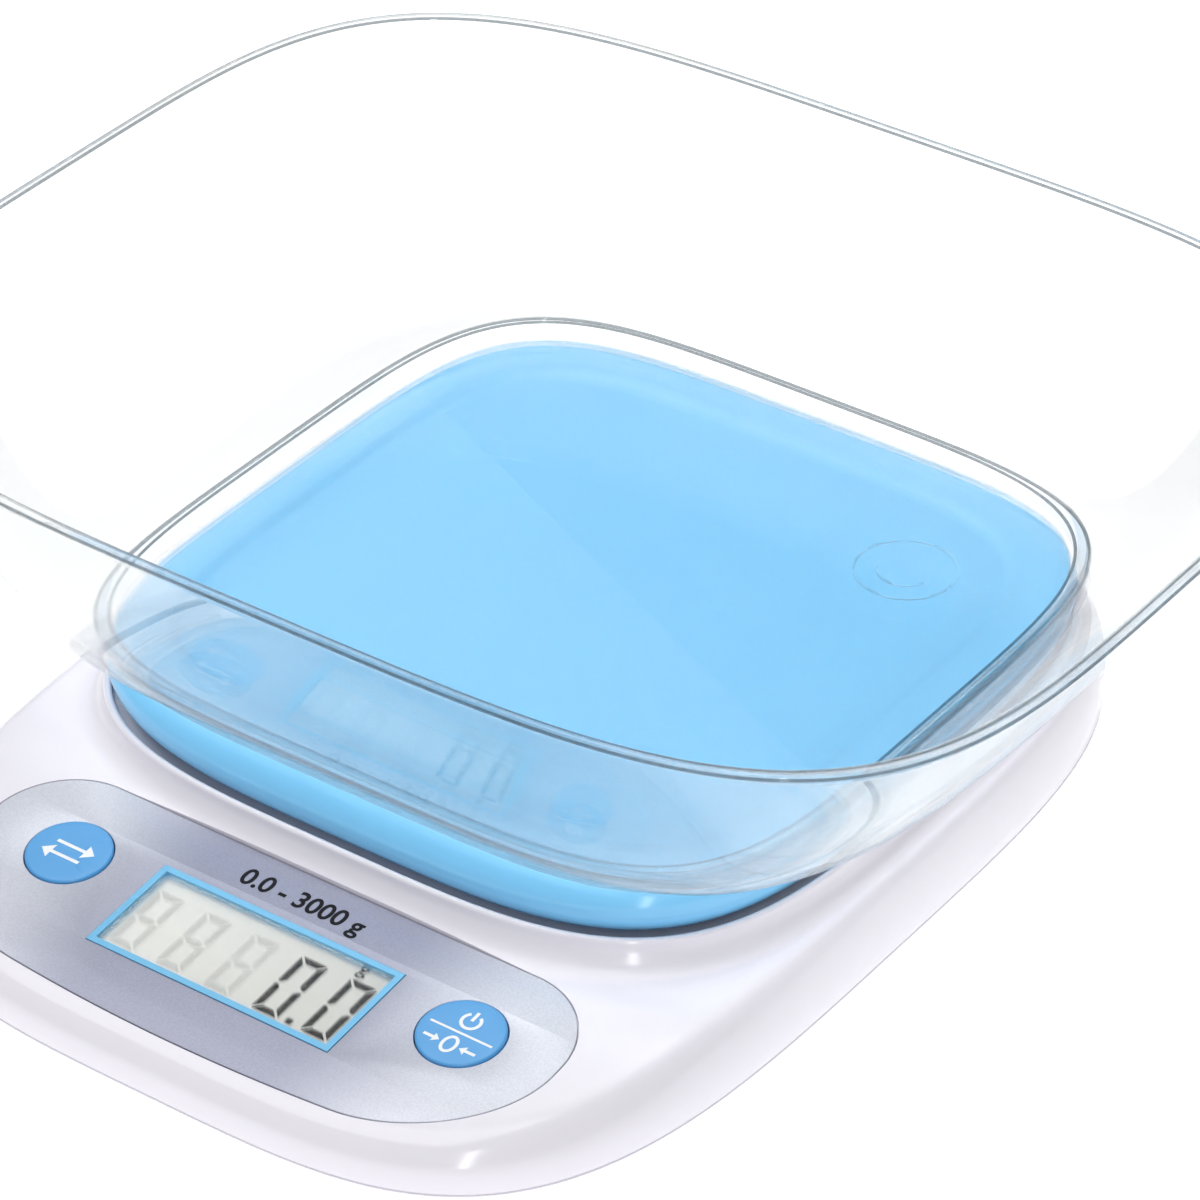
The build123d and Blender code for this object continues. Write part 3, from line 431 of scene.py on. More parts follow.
def make_materials():
    """All finishes, by a short key."""
    housing = bpy.context.scene.scale_housing
    platform = bpy.context.scene.scale_platform
    panel = bpy.context.scene.scale_panel
    found = {
        "cover": moulded_abs("glossy_white_abs", tuple(housing.cover), 0.16, 1.4, 0.002),
        "base": moulded_abs("satin_white_abs", tuple(housing.base), 0.34, 0.6, 0.006),
        "platform": moulded_abs("glossy_blue_abs", tuple(platform.body), 0.2, 1.2, 0.002),
        "border": moulded_abs("printed_blue_border", tuple(panel.border), 0.3, 0.5, 0.002),
        "key": moulded_abs("blue_key_abs", tuple(panel.key), 0.32, 0.4, 0.004),
        "carrier": moulded_abs("grey_nylon", linear("#D4D6D9"), 0.45, 0.5, 0.01),
        "holder": moulded_abs("natural_abs", linear("#E6E6E2"), 0.4, 0.5, 0.006),
        "black": moulded_abs("black_nylon", linear("#242426"), 0.45, 0.4, 0.008),
        "chip": moulded_abs("black_epoxy", linear("#16171A"), 0.55, 0.3, 0.01),
        "feet": rubber("moulded_grey_rubber", linear("#6A6C72")),
        "zebra": rubber("striped_silicone", linear("#D9BFA6")),
        "coating": rubber("white_silicone", linear("#EBEBE6")),
        "steel": metal("zinc_plated_steel", linear("#C4C5C0"), 0.28, 0.7),
        "spring": metal("nickel_plated_wire", linear("#C9C8C4"), 0.22, 0.5),
        "aluminium": brushed_aluminium(),
        "foil": metal("etched_foil", linear("#C79A58"), 0.35, 0.3),
        "board": circuit_board(),
        "tan": moulded_abs("tan_ceramic", linear("#A98C66"), 0.4, 0.3, 0.004),
        "reflector": moulded_abs("white_reflector_film", linear("#E4E6E2"), 0.35, 0.4, 0.002),
        "cell": cell_jacket(),
        "wire_red": moulded_abs("red_pvc", linear("#B8231C"), 0.4, 0.5, 0.004),
        "wire_grey": moulded_abs("grey_pvc", linear("#D8D8DA"), 0.4, 0.5, 0.004),
        "bowl": clear_styrene(),
        "edge": clear_shade_bead(),
        "window": clear_window(),
        "overlay": silver_film(),
        "lcd": lcd_glass(),
        "figures": printed("dark_liquid_crystal", linear("#1F1B19"), 0.35),
        "ghosts": printed("idle_liquid_crystal", linear("#BDBDB9"), 0.35),
        "white_print": printed("white_pad_print", linear("#FAFCFD"), 0.4),
        "black_print": printed("black_screen_print", linear("#1B1B20"), 0.45),
    }
    return found


def rubber(name, base):
    """Moulded rubber: matt, with a fine tooth that scatters light and greys its edges."""
    material, tree, shader = new_material(name, base, 0.75, IOR=1.52)
    vary(tree, shader, grain(tree, 3 * MM), base, 0.08, 0.66, 0.86)
    relief(tree, shader, grain(tree, 0.4 * MM, 4.0), 0.02 * MM)
    return material


def metal(name, base, roughness, speck):
    """Plated metal: bright, with a faint mottle of plating that dulls it in patches."""
    material, tree, shader = new_material(name, base, roughness, Metallic=1.0)
    vary(tree, shader, grain(tree, speck * MM, 4.0), base, 0.06, roughness * 0.7, roughness * 1.5)
    return material


def brushed_aluminium():
    """Milled aluminium bar: fine lines along its length stretch the highlights across it."""
    base = linear("#CDCFD1")
    material, tree, shader = new_material("brushed_aluminium", base, 0.34, Metallic=1.0)
    place = add_node(tree, "ShaderNodeTexCoord")
    long_way = add_node(tree, "ShaderNodeMapping", {"Vector": place.outputs["Object"],
                                                    "Scale": (1.0, 0.03, 1.0)})
    lines = add_node(tree, "ShaderNodeTexNoise", {"Vector": long_way.outputs["Vector"],
                                                  "Scale": 1 / (0.25 * MM), "Detail": 3.0})
    vary(tree, shader, lines, base, 0.05, 0.25, 0.45)
    relief(tree, shader, lines, 0.006 * MM)
    return material


def circuit_board():
    """Glass-epoxy board: green solder mask with the weave of the cloth just showing under it."""
    base = linear("#1F6B45")
    material, tree, shader = new_material("green_glass_epoxy", base, 0.3, IOR=1.55)
    place = add_node(tree, "ShaderNodeTexCoord")
    weave = add_node(tree, "ShaderNodeTexWave", {"Vector": place.outputs["Object"], "Scale": 1 / (3.2 * MM),
                                                  "Distortion": 0.4})
    vary(tree, shader, weave, base, 0.16, 0.25, 0.4)
    return material


def cell_jacket():
    """Shrink-wrapped battery jacket: green film with a copper band at one end."""
    material, tree, shader = new_material("battery_film", linear("#1F5A38"), 0.25, Metallic=0.35)
    place = add_node(tree, "ShaderNodeTexCoord")
    split = add_node(tree, "ShaderNodeSeparateXYZ", {"Vector": place.outputs["Object"]})
    low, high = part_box("battery_left")
    band = add_node(tree, "ShaderNodeMath", {0: split.outputs["Y"], 1: low.y + (high.y - low.y) * 0.28},
                    operation="LESS_THAN")
    mix = add_node(tree, "ShaderNodeMix", {"Factor": band.outputs[0], 6: (*linear("#1F5A38"), 1),
                                           7: (*linear("#B8743A"), 1)}, data_type="RGBA")
    tree.links.new(mix.outputs[2], shader.inputs["Base Color"])
    relief(tree, shader, grain(tree, 1.5 * MM), 0.01 * MM)
    return material


def see_through(name, tint, roughness, ior, thin):
    """Clear plastic that bends light for the eye and lets lamps through it, so that what stands inside
    is lit as it is in air. A share of the light passes straight, as through a thin sheet, which keeps the
    edges a soft grey."""
    material, tree, shader = new_material(name, tint, roughness, IOR=ior, Transmission_Weight=1.0)
    clear = add_node(tree, "ShaderNodeBsdfTransparent", {"Color": (*tint, 1)})
    path = add_node(tree, "ShaderNodeLightPath")
    share = add_node(tree, "ShaderNodeMath", {0: path.outputs["Is Shadow Ray"], 1: thin}, operation="MAXIMUM")
    mix = add_node(tree, "ShaderNodeMixShader", {0: share.outputs[0], 1: shader.outputs["BSDF"],
                                                 2: clear.outputs["BSDF"]})
    tree.links.new(mix.outputs["Shader"], tree.nodes["Material Output"].inputs["Surface"])
    return material, tree, shader


def clear_styrene():
    """Clear moulded styrene-acrylonitrile: almost no colour, sharp thin lines where its edges gather the
    light, and a very faint wave left by the moulding flow."""
    tint = tuple(bpy.context.scene.scale_bowl.tint)
    material, tree, shader = see_through("clear_moulded_styrene", tint, 0.0, 1.42, 0.5)
    relief(tree, shader, grain(tree, 30 * MM, 1.0), 0.004 * MM)
    return material


def clear_shade_bead():
    """The fine beads of the bowl: the same plastic with a grey tint, painted shade that draws thin grey lines
    where light turned back inside the rim and shoulder darkens the clear wall."""
    tint = tuple(bpy.context.scene.scale_bowl.bead_shade_tint)
    material, tree, shader = see_through("clear_styrene_shade_bead", tint, 0.02, 1.42, 0.85)
    relief(tree, shader, grain(tree, 6 * MM, 1.0), 0.004 * MM)
    return material


def clear_window():
    """Thin acrylic window over the display: clear, with a soft gloss."""
    material, tree, shader = see_through("clear_acrylic_window", linear("#FDFDFD"), 0.0, 1.3, 0.5)
    relief(tree, shader, grain(tree, 9 * MM), 0.002 * MM)
    return material


def silver_film():
    """Screen-printed silver film with fine metal flakes. Its colour is painted lighter at both ends and
    darker in the
    middle: painted sheen and shade for the way light falls along the film."""
    panel = bpy.context.scene.scale_panel
    light, dark = tuple(panel.silver_painted_sheen), tuple(panel.silver_painted_shade)
    material, tree, shader = new_material("pearl_silver_film", light, 0.3, IOR=1.5, Coat_Weight=0.25)
    place = add_node(tree, "ShaderNodeTexCoord")
    split = add_node(tree, "ShaderNodeSeparateXYZ", {"Vector": place.outputs["Object"]})
    out = add_node(tree, "ShaderNodeMath", {0: split.outputs["X"], 1: panel.half_width}, operation="DIVIDE")
    far = add_node(tree, "ShaderNodeMath", {0: out.outputs[0]}, operation="ABSOLUTE")
    # painted sheen and shade: lighter towards both ends, darker in the middle
    ramp = add_node(tree, "ShaderNodeValToRGB", {"Fac": far.outputs[0]})
    stops = ramp.color_ramp
    stops.interpolation = "EASE"
    stops.elements[0].position, stops.elements[0].color = 0.3, (*dark, 1)
    stops.elements[1].position, stops.elements[1].color = 0.82, (*light, 1)
    flakes = grain(tree, 0.35 * MM, 2.0)
    speck = add_node(tree, "ShaderNodeMapRange", {"Value": flakes.outputs["Fac"], "From Min": 0.35,
                                                  "From Max": 0.65, "To Min": 0.94, "To Max": 1.05})
    shaded = add_node(tree, "ShaderNodeVectorMath", {0: ramp.outputs["Color"]}, operation="SCALE")
    tree.links.new(speck.outputs["Result"], shaded.inputs["Scale"])
    tree.links.new(shaded.outputs["Vector"], shader.inputs["Base Color"])
    shader.inputs["Metallic"].default_value = 0.15
    return material


def lcd_glass():
    """Reflective liquid-crystal glass: warm grey with a faint green over a finely grained reflector, with
    painted shade:
    lighter to the left and darker to the right, for how light falls across it."""
    # painted shade: the left colour is lighter and the right darker, for how light falls across the glass
    left, right = linear("#D9D9D4"), linear("#C0C0BB")
    material, tree, shader = new_material("liquid_crystal_glass", left, 0.35, IOR=1.5)
    low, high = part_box("lcd_glass")
    place = add_node(tree, "ShaderNodeTexCoord")
    split = add_node(tree, "ShaderNodeSeparateXYZ", {"Vector": place.outputs["Object"]})
    across = add_node(tree, "ShaderNodeMapRange", {"Value": split.outputs["X"], "From Min": low.x,
                                                   "From Max": high.x})
    grit = grain(tree, 0.3 * MM, 3.0)
    blend = add_node(tree, "ShaderNodeMix", {"Factor": across.outputs["Result"], 6: (*left, 1),
                                             7: (*right, 1)}, data_type="RGBA")
    speck = add_node(tree, "ShaderNodeMapRange", {"Value": grit.outputs["Fac"], "To Min": 0.96,
                                                  "To Max": 1.04})
    shaded = add_node(tree, "ShaderNodeVectorMath", {0: blend.outputs[2]}, operation="SCALE")
    tree.links.new(speck.outputs["Result"], shaded.inputs["Scale"])
    tree.links.new(shaded.outputs["Vector"], shader.inputs["Base Color"])
    return material


def printed(name, base, roughness):
    """Printed ink: a thin even film whose low gloss keeps it dark or bright from every side."""
    material, tree, shader = new_material(name, base, roughness, IOR=1.5, Specular_IOR_Level=0.1)
    vary(tree, shader, grain(tree, 0.6 * MM), base, 0.03, roughness * 0.8, roughness * 1.3)
    return material


MATERIALS = {}


def dress(piece, key, body=None):
    """Give a new piece its finish and the body that it rides on."""
    piece.data.materials.clear()
    piece.data.materials.append(MATERIALS[key])
    if body:
        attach(piece, body)
    return piece


# ---- bowl -------------------------------------------------------------------------------------
class SCALE_OT_bowl(bpy.types.Operator):
    """Build the clear bowl: a closed shell with an upright foot, a flared wall and a rounded rim"""
    bl_idname = "scale.bowl"
    bl_label = "Bowl"

    def execute(self, context):
        s = context.scene.scale_bowl
        low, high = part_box("bowl")
        rim_x, rim_y = halves("bowl")
        shoulder = low.z + s.foot_height
        rim_round = s.wall / 2
        lowest, highest = low.z + s.foot_round, high.z - rim_round
        levels = lowest + (highest - lowest) * np.linspace(0, 1, 90) ** 1.6

        def outside(level, shoulder_half, rim_half):
            """Half size at a level: upright below the shoulder, then out by the rise to the flare's power,
            with the start of the curve eased."""
            ease = 0.004
            rise = np.clip((level - shoulder) / (high.z - shoulder), 0, 1)
            share = ((rise + ease) ** s.flare - ease ** s.flare) / ((1 + ease) ** s.flare - ease ** s.flare)
            draft = s.foot_inset * np.clip((shoulder - level) / s.foot_height, 0, 1)
            return shoulder_half - draft + (rim_half - shoulder_half) * share

        def inside(level, shoulder_half, rim_half):
            """Half size of the inside: what a ball as large as the wall leaves as it rolls along the
            outside."""
            track = np.linspace(low.z, high.z, 1500)
            near = np.clip(s.wall ** 2 - (level[:, None] - track[None, :]) ** 2, 0, None)
            reach = outside(track, shoulder_half, rim_half)[None, :] - np.sqrt(near)
            return np.where(near > 0, reach, 1.0).min(1)

        power = s.foot_power + (s.rim_power - s.foot_power) * (levels - low.z) / (high.z - low.z)
        halves_out = [outside(levels, a, b) for a, b in ((s.shoulder_x, rim_x), (s.shoulder_y, rim_y))]
        floor_in = low.z + s.wall
        inner_levels = levels[levels > floor_in + s.wall * 0.4][::-1]
        inner_power = np.interp(inner_levels, levels, power)
        halves_in = [inside(inner_levels, a, b) for a, b in ((s.shoulder_x, rim_x), (s.shoulder_y, rim_y))]

        corner = np.linspace(-90, 0, 8)[:-1]
        foot = [half[0] - s.foot_round + s.foot_round * np.cos(np.radians(corner)) for half in halves_out]
        foot_level = low.z + s.foot_round + s.foot_round * np.sin(np.radians(corner))
        flat = np.array([0.25, 0.5, 0.75, 0.9, 0.97])
        over = np.radians(np.linspace(0, 180, 15))[1:-1]
        rim = [(o[-1] + i[0]) / 2 + (o[-1] - i[0]) / 2 * np.cos(over) for o, i in zip(halves_out, halves_in)]
        rim_level = levels[-1] + rim_round * np.sin(over)
        turn = np.linspace(0, 90, 8)[1:]
        inner_round = inner_levels[-1] - floor_in
        heel = [half[-1] - inner_round + inner_round * np.cos(np.radians(turn)) for half in halves_in]
        heel_level = inner_levels[-1] - inner_round * np.sin(np.radians(turn))

        parts = [[f[0] * flat, f, o, r, i, h, h[-1] * flat[::-1]]
                 for f, o, r, i, h in zip(foot, halves_out, rim, halves_in, heel)]
        half_x, half_y = (np.concatenate(p) for p in parts)
        level = np.concatenate([flat * 0 + low.z, foot_level, levels, rim_level, inner_levels, heel_level,
                                flat * 0 + floor_in])
        powers = np.concatenate([flat * 0 + s.foot_power, foot_level * 0 + s.foot_power, power,
                                 rim_level * 0 + s.rim_power, inner_power, heel_level * 0 + s.foot_power,
                                 flat * 0 + s.foot_power])
        shell = ring_piece("bowl_shell", rings(half_x, half_y, powers, level, PLATFORM_Y), crease=60)
        dress(shell, "bowl", "lift_off_bowl")
        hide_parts("bowl")
        return {"FINISHED"}


class SCALE_OT_bowl_edges(bpy.types.Operator):
    """Build the grey beads along the bowl's rim and shoulder, painted shade lines, and the ring moulded on
    its floor
    """
    bl_idname = "scale.bowl_edges"
    bl_label = "Bowl edges"

    def execute(self, context):
        s = context.scene.scale_bowl
        low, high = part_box("bowl")
        rim, shoulder = halves("bowl"), (s.shoulder_x, s.shoulder_y)
        shoulder_level = low.z + s.foot_height
        # painted shade: grey beads that draw the dark lines along the rim and the shoulder
        beads = (("rim_outer_shade_bead", rim, s.wall * 0.12, high.z - s.wall * 0.35, s.rim_power),
                 ("rim_inner_shade_bead", rim, s.wall * 0.88, high.z - s.wall * 0.3, s.rim_power),
                 ("shoulder_outer_shade_bead", shoulder, 0, shoulder_level, s.foot_power),
                 ("shoulder_inner_shade_bead", shoulder, s.wall, shoulder_level + s.wall * 0.4, s.foot_power))
        turn = np.arange(12) * 2 * math.pi / 12
        for name, wide, inset, level, power in beads:
            half_x, half_y = (half - inset - s.edge * (1 - np.cos(turn)) for half in wide)
            tube = rings(half_x, half_y, power, level + s.edge * np.sin(turn), PLATFORM_Y)
            dress(ring_piece(name, tube, loop=True, crease=60), "edge", "lift_off_bowl")

        x, y, inner = s.mark_x, PLATFORM_Y + s.mark_y, s.mark_radius * 0.55
        line, floor_in = 0.35 * MM, low.z + s.wall
        strokes = ring_strokes(x, y, s.mark_radius, s.mark_radius, line)
        strokes += ring_strokes(x, y, inner, inner, line, 200, 340)
        mark = prisms("floor_mark", strokes, floor_in, floor_in + 0.25 * MM, Matrix.Identity(4))
        dress(mark, "bowl", "lift_off_bowl")
        return {"FINISHED"}


# ---- platform ---------------------------------------------------------------------------------
class SCALE_OT_platform(bpy.types.Operator):
    """Build the weighing platform: a bulged side, a border and a shallow field"""
    bl_idname = "scale.platform"
    bl_label = "Platform"

    def execute(self, context):
        s = context.scene.scale_platform
        low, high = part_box("platform")
        half_x, half_y = halves("platform")
        high.z -= s.air
        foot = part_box("upper_housing")[1].z - 0.5 * MM
        waist = foot + s.waist
        up = np.sin(np.radians(np.linspace(0, 90, 26)))
        down = np.linspace(1, 0, 10)[:-1]

        def side(widest, top_tuck):
            """Half size from the foot to the top: a parabola in to the foot, and above the waist a rounded
            lean that ends level with the top."""
            lower = widest - s.foot_tuck * down ** 2
            upper = widest - top_tuck * (0.55 * up ** 1.6 + 0.45 * (1 - (1 - up ** 2.2) ** 0.6))
            return np.concatenate([lower, upper])

        side_level = np.concatenate([waist - (waist - foot) * down, waist + (high.z - waist) * up])
        side_power = np.interp(side_level, [foot, waist, high.z], [3.75, 3.95, 4.8])
        side_x, side_y = side(half_x, s.top_tuck_x), side(half_y, s.top_tuck_y)
        step = np.linspace(0, 1, 12)
        ease = (1 - np.cos(step * math.pi)) / 2
        field_x, field_y = side_x[-1] - s.field_inset, side_y[-1] - s.field_inset
        border = np.linspace(0, 1, 5)[1:-1]
        flat = np.array([0.9, 0.7, 0.45, 0.2])
        hollow = np.array([0.2, 0.6, 0.95])
        under = high.z - s.top_thick
        inner_x, inner_y = side_x[-1] - s.wall, side_y[-1] - s.wall
        wall_levels = np.linspace(under, foot, 4)
        parts_x = [inner_x * hollow, inner_x + wall_levels * 0, side_x,
                   side_x[-1] - s.field_inset * border, field_x - s.field_step * step,
                   (field_x - s.field_step) * flat]
        parts_y = [inner_y * hollow, inner_y + wall_levels * 0, side_y,
                   side_y[-1] - s.field_inset * border, field_y - s.field_step * step,
                   (field_y - s.field_step) * flat]
        level = np.concatenate([hollow * 0 + under, wall_levels, side_level, border * 0 + high.z,
                                high.z - s.field_depth * ease, flat * 0 + high.z - s.field_depth])
        power = np.concatenate([hollow * 0 + 4.2, wall_levels * 0 + 4.2, side_power, border * 0 + 4.8,
                                step * 0 + 4.7, flat * 0 + 4.7])
        shell = ring_piece("platform_shell",
                           rings(np.concatenate(parts_x), np.concatenate(parts_y), power, level, PLATFORM_Y),
                           crease=50)
        dress(shell, "platform", "weighing_platform")
        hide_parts("platform")
        return {"FINISHED"}


# ---- housing ----------------------------------------------------------------------------------
DISPLAY_BORDER = (46.8 * MM, 19.4 * MM)
KEY_RADIUS = 7.0 * MM
HUB_HALF = 18.5 * MM
HUB_POWER = 7.0
EDGE_BREAK = 0.25 * MM
RECESS_THICK = 2.0 * MM


def panel_openings(display_gap, key_gap):
    """Outlines of the openings for the display and the keys, about the display's centre, each with its gap
    all round."""
    spot = middle("display_bezel")
    width, height = DISPLAY_BORDER
    outlines = [rectangle(0, 0, width + 2 * display_gap, height + 2 * display_gap)]
    for node in ("unit_key", "tare_key"):
        away = middle(node) - spot
        outlines.append(circle(away.x, away.dot(PANEL_BACKWARD), KEY_RADIUS + key_gap))
    return outlines


def ray_reach(angle, half_x, half_y, power, offset):
    """How far a ray from the platform's centre runs before it meets the housing's outline, whose centre is
    a distance towards -Y: halving steps close in on the crossing for all rays at once."""
    low, high = np.zeros_like(angle), np.full_like(angle, 0.3)
    for _ in range(40):
        reach = (low + high) / 2
        x, y = reach * np.cos(angle), reach * np.sin(angle) + offset
        outside = (np.abs(x) / half_x) ** power + (np.abs(y) / half_y) ** power > 1
        high = np.where(outside, reach, high)
        low = np.where(outside, low, reach)
    return (low + high) / 2


def own_reach(angle, half_x, half_y, power):
    """How far a ray from its own centre runs before it meets a superellipse."""
    across, along = np.abs(np.cos(angle)) / half_x, np.abs(np.sin(angle)) / half_y
    return (across ** power + along ** power) ** (-1 / power)


class SCALE_OT_cover(bpy.types.Operator):
    """Build the upper housing: recess, lip, plinth, hollow fillet, sloped top and rounded edge, with the
    panel's seat, the display's opening and the keys' holes cut through it"""
    bl_idname = "scale.cover"
    bl_label = "Cover"

    def execute(self, context):
        s = context.scene.scale_housing
        half_x, half_y = HOUSING_HALF
        offset = PLATFORM_Y - HOUSING_Y
        front = middle("display_bezel") + PANEL_UP * DISPLAY_SINK

        def top_level(y):
            """The cover's top: the panel's slope, then level, with the knee between them eased."""
            slope = front.z + (y - front.y) * PANEL_SLOPE
            return (slope + s.level_top - np.sqrt((slope - s.level_top) ** 2 + s.knee ** 2)) / 2

        def lip(grow):
            return own_reach(TURN, s.lip_half_x + grow, s.lip_half_y + grow, s.lip_power)

        def outline(inset):
            return ray_reach(TURN, half_x - inset, half_y - inset, s.power, offset)

        def ring(reach, level):
            x, y = reach * np.cos(TURN), PLATFORM_Y + reach * np.sin(TURN)
            return np.stack([x, y, level(y) if callable(level) else np.full_like(x, level)], -1)

        room = outline(0) - lip(0)
        fillet = 1 / (1 / s.fillet ** 3 + 1 / (0.46 * room) ** 3) ** (1 / 3)
        edge = 1 / (1 / s.edge_round ** 3 + 1 / (0.5 * room) ** 3) ** (1 / 3)
        floor = LIP_Z - s.recess_depth
        hub_x, hub_y = superellipse(HUB_HALF, HUB_HALF, HUB_POWER, TURN)
        hub = np.stack([hub_x, hub_y + HUB_Y, hub_x * 0 + floor], -1)
        inner_lip = ring(lip(-s.lip_width), floor)
        grid = [hub + (inner_lip - hub) * t for t in (0.0, 0.01, 0.4, 0.8, 0.99, 1.0)]
        nose = s.lip_width / 2
        grid += [ring(lip(-s.lip_width), floor + 0.05 * MM)]
        for angle in np.radians(np.linspace(180, 0, 9)):
            grid.append(ring(lip(-nose + nose * math.cos(angle)), LIP_Z - nose + nose * math.sin(angle)))
        for angle in np.radians(np.linspace(180, 270, 14)):
            rise = fillet * (1 + math.sin(angle))
            grid.append(ring(lip(fillet * (1 + math.cos(angle))), lambda y: top_level(y) + rise))
        start, end = lip(fillet), outline(edge)
        for t in np.linspace(0, 1, 14)[1:-1]:
            grid.append(ring(start + (end - start) * t, top_level))
        band = PARTING_Z + s.band_top
        for angle in np.radians(np.linspace(90, 0, 16)):
            grid.append(ring(outline(edge * (1 - math.cos(angle))),
                             lambda y: band + (top_level(y) - band) * math.sin(angle)))
        grid.append(ring(outline(0), PARTING_Z + EDGE_BREAK))
        grid.append(ring(outline(EDGE_BREAK * 0.3), PARTING_Z + EDGE_BREAK * 0.3))
        grid.append(ring(outline(EDGE_BREAK), PARTING_Z))
        grid.append(ring(outline(s.wall), PARTING_Z))
        grid.append(ring(outline(s.wall), band - 1.5 * MM))
        grid.append(ring(outline(s.wall + edge), lambda y: top_level(y) - s.wall))
        ceiling = floor - RECESS_THICK
        grid.append(ring(lip(-s.wall * 0.2), lambda y: top_level(y) - s.wall))
        grid.append(ring(lip(-s.wall), ceiling - 0.2 * MM))
        grid.append(ring(lip(-s.wall * 2), ceiling))
        grid.append(np.stack([hub_x, hub_y + HUB_Y, hub_x * 0 + ceiling], -1))
        shell = ring_piece("cover_shell", np.array(grid), loop=True)
        panel = context.scene.scale_panel
        clear, through, gap = 6 * MM, -12 * MM, 0.3 * MM
        place = panel_place("display_bezel")
        carve(shell, prisms("seat_cutter", [panel_outline(panel.gap)], -panel.thick, clear, place))
        carve(shell, prisms("opening_cutter", panel_openings(gap, gap), through, clear, place))
        dress(shell, "cover", "housing")
        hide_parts("upper_housing")
        return {"FINISHED"}


class SCALE_OT_base(bpy.types.Operator):
    """Build the lower housing: a tray that leans in to the table, with the battery bay, foot sockets and
    screw wells"""
    bl_idname = "scale.base"
    bl_label = "Base"

    def execute(self, context):
        s = context.scene.scale_housing
        half_x, half_y = HOUSING_HALF
        depth = PARTING_Z - FLOOR_Z
        softness = 0.15

        def tuck(level):
            """How far the side has come in at a level: a hyperbola, upright at the parting line and a
            straight lean below it."""
            drop = np.clip((PARTING_Z - level) / depth, 0, None)
            share = (np.sqrt(drop ** 2 + softness ** 2) - softness) / (math.hypot(1, softness) - softness)
            return s.tuck * share

        lift = 2.6 * MM
        flat = np.array([0.2, 0.6, 0.95])
        rise = FLOOR_Z + depth * np.linspace(0.04, 1, 40)
        outer = np.concatenate([[s.tuck + 1.2 * MM, s.tuck + 0.3 * MM], tuck(rise)])
        outer[-1] = EDGE_BREAK
        outer_level = np.concatenate([[FLOOR_Z, FLOOR_Z + 0.1 * MM], rise])
        inner_level = np.linspace(PARTING_Z, FLOOR_Z + lift, 16)
        inner = np.maximum(tuck(inner_level - lift), s.wall)
        inset = np.concatenate([outer, inner])
        level = np.concatenate([outer_level, inner_level])
        out_x, out_y = half_x - inset, half_y - inset
        ring_x = np.concatenate([out_x[0] * flat, out_x, out_x[-1] * flat[::-1]])
        ring_y = np.concatenate([out_y[0] * flat, out_y, out_y[-1] * flat[::-1]])
        ring_z = np.concatenate([flat * 0 + FLOOR_Z, level, flat * 0 + FLOOR_Z + lift])
        shell = ring_piece("base_shell", rings(ring_x, ring_y, s.power, ring_z, HOUSING_Y))

        door_low, door_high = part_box("battery_door")
        bay_x, bay_half = (door_low.x + door_high.x) / 2, 12.3 * MM
        bay_low, bay_high = door_low.y - 0.3 * MM, door_high.y + 0.3 * MM
        bay_roof, bay_wall = 15.3 * MM, 1.5 * MM
        bay_y, bay_length = (bay_low + bay_high) / 2, bay_high - bay_low
        level_place = Matrix.Identity(4)
        block = rectangle(bay_x, bay_y, 2 * (bay_half + bay_wall), bay_length + 2 * bay_wall)
        block_piece = prisms("bay_block", [block], FLOOR_Z + lift / 2, bay_roof + bay_wall, level_place)
        carve(shell, block_piece, "UNION")

        notch_long, notch_wide, notch_deep = 10 * MM, 6 * MM, 1.2 * MM
        foot_hole, foot_deep = 6.1 * MM, 0.8 * MM
        small_head, head, gap, well_deep = 2.8 * MM, 3.6 * MM, 0.3 * MM, 3.2 * MM
        hollow = rectangle(bay_x, bay_y, 2 * bay_half, bay_length)
        notch = rectangle(bay_x, bay_low - notch_wide / 2, notch_long, notch_wide)
        feet = [circle(middle(n).x, middle(n).y, foot_hole) for n in frame["nodes"] if n.startswith("foot_")]
        low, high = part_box("base_screws")
        wells = [circle(x, y, small_head + gap, 48) for x, y in screw_places()]
        wells += [circle(0, y, head + gap, 48) for y in (low.y + head, high.y - head)]
        for name, outlines, roof in (("bay_cutter", [hollow], bay_roof),
                                     ("notch_cutter", [notch], FLOOR_Z + notch_deep),
                                     ("foot_cutter", feet, FLOOR_Z + foot_deep),
                                     ("well_cutter", wells, FLOOR_Z + well_deep)):
            carve(shell, prisms(name, outlines, 0, roof, level_place))
        dress(shell, "base", "housing")
        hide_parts("lower_housing")
        return {"FINISHED"}


def screw_places():
    """Centres of the housing screws in plan: the node's vertices that stand near one another are one
    screw, and the middle of their box is its centre."""
    mesh = frame["nodes"]["housing_screws"].data
    points = np.zeros(len(mesh.vertices) * 3)
    mesh.vertices.foreach_get("co", points)
    points = points.reshape(-1, 3)[:, :2]
    places = []
    while len(points):
        near = np.linalg.norm(points - points[0], axis=1) < 8 * MM
        places.append(tuple((points[near].min(0) + points[near].max(0)) / 2))
        points = points[~near]
    return places


# ---- control panel ----------------------------------------------------------------------------
def panel_outline(grow=0.0):
    """The overlay's outline about the display's centre: a rectangle with round corners, whose front half
    is then drawn back by the square of its distance from the middle."""
    s = bpy.context.scene.scale_panel
    side, back, front = s.half_width + grow, s.back + grow, -s.front - grow
    corners = ((1, back, s.back_round, 0), (-1, back, s.back_round, 90),
               (-1, front, s.front_round, 180), (1, front, s.front_round, 270))
    runs = []
    for way, edge, radius, start in corners:
        radius += grow
        centre = (way * (side - radius), edge - radius * (1 if edge > 0 else -1))
        runs.append(arc(*centre, radius, radius, start, start + 90, 24))
    edge_run = np.linspace(runs[2][-1], runs[3][0], 40)[1:-1]
    points = np.vstack([*runs[:3], edge_run, runs[3]])
    u, v = points.T
    pull = np.clip((back - s.back_round - v) / (back - s.back_round - front), 0, 1)
    return np.column_stack([u, v + s.bow * (u / side) ** 2 * pull])


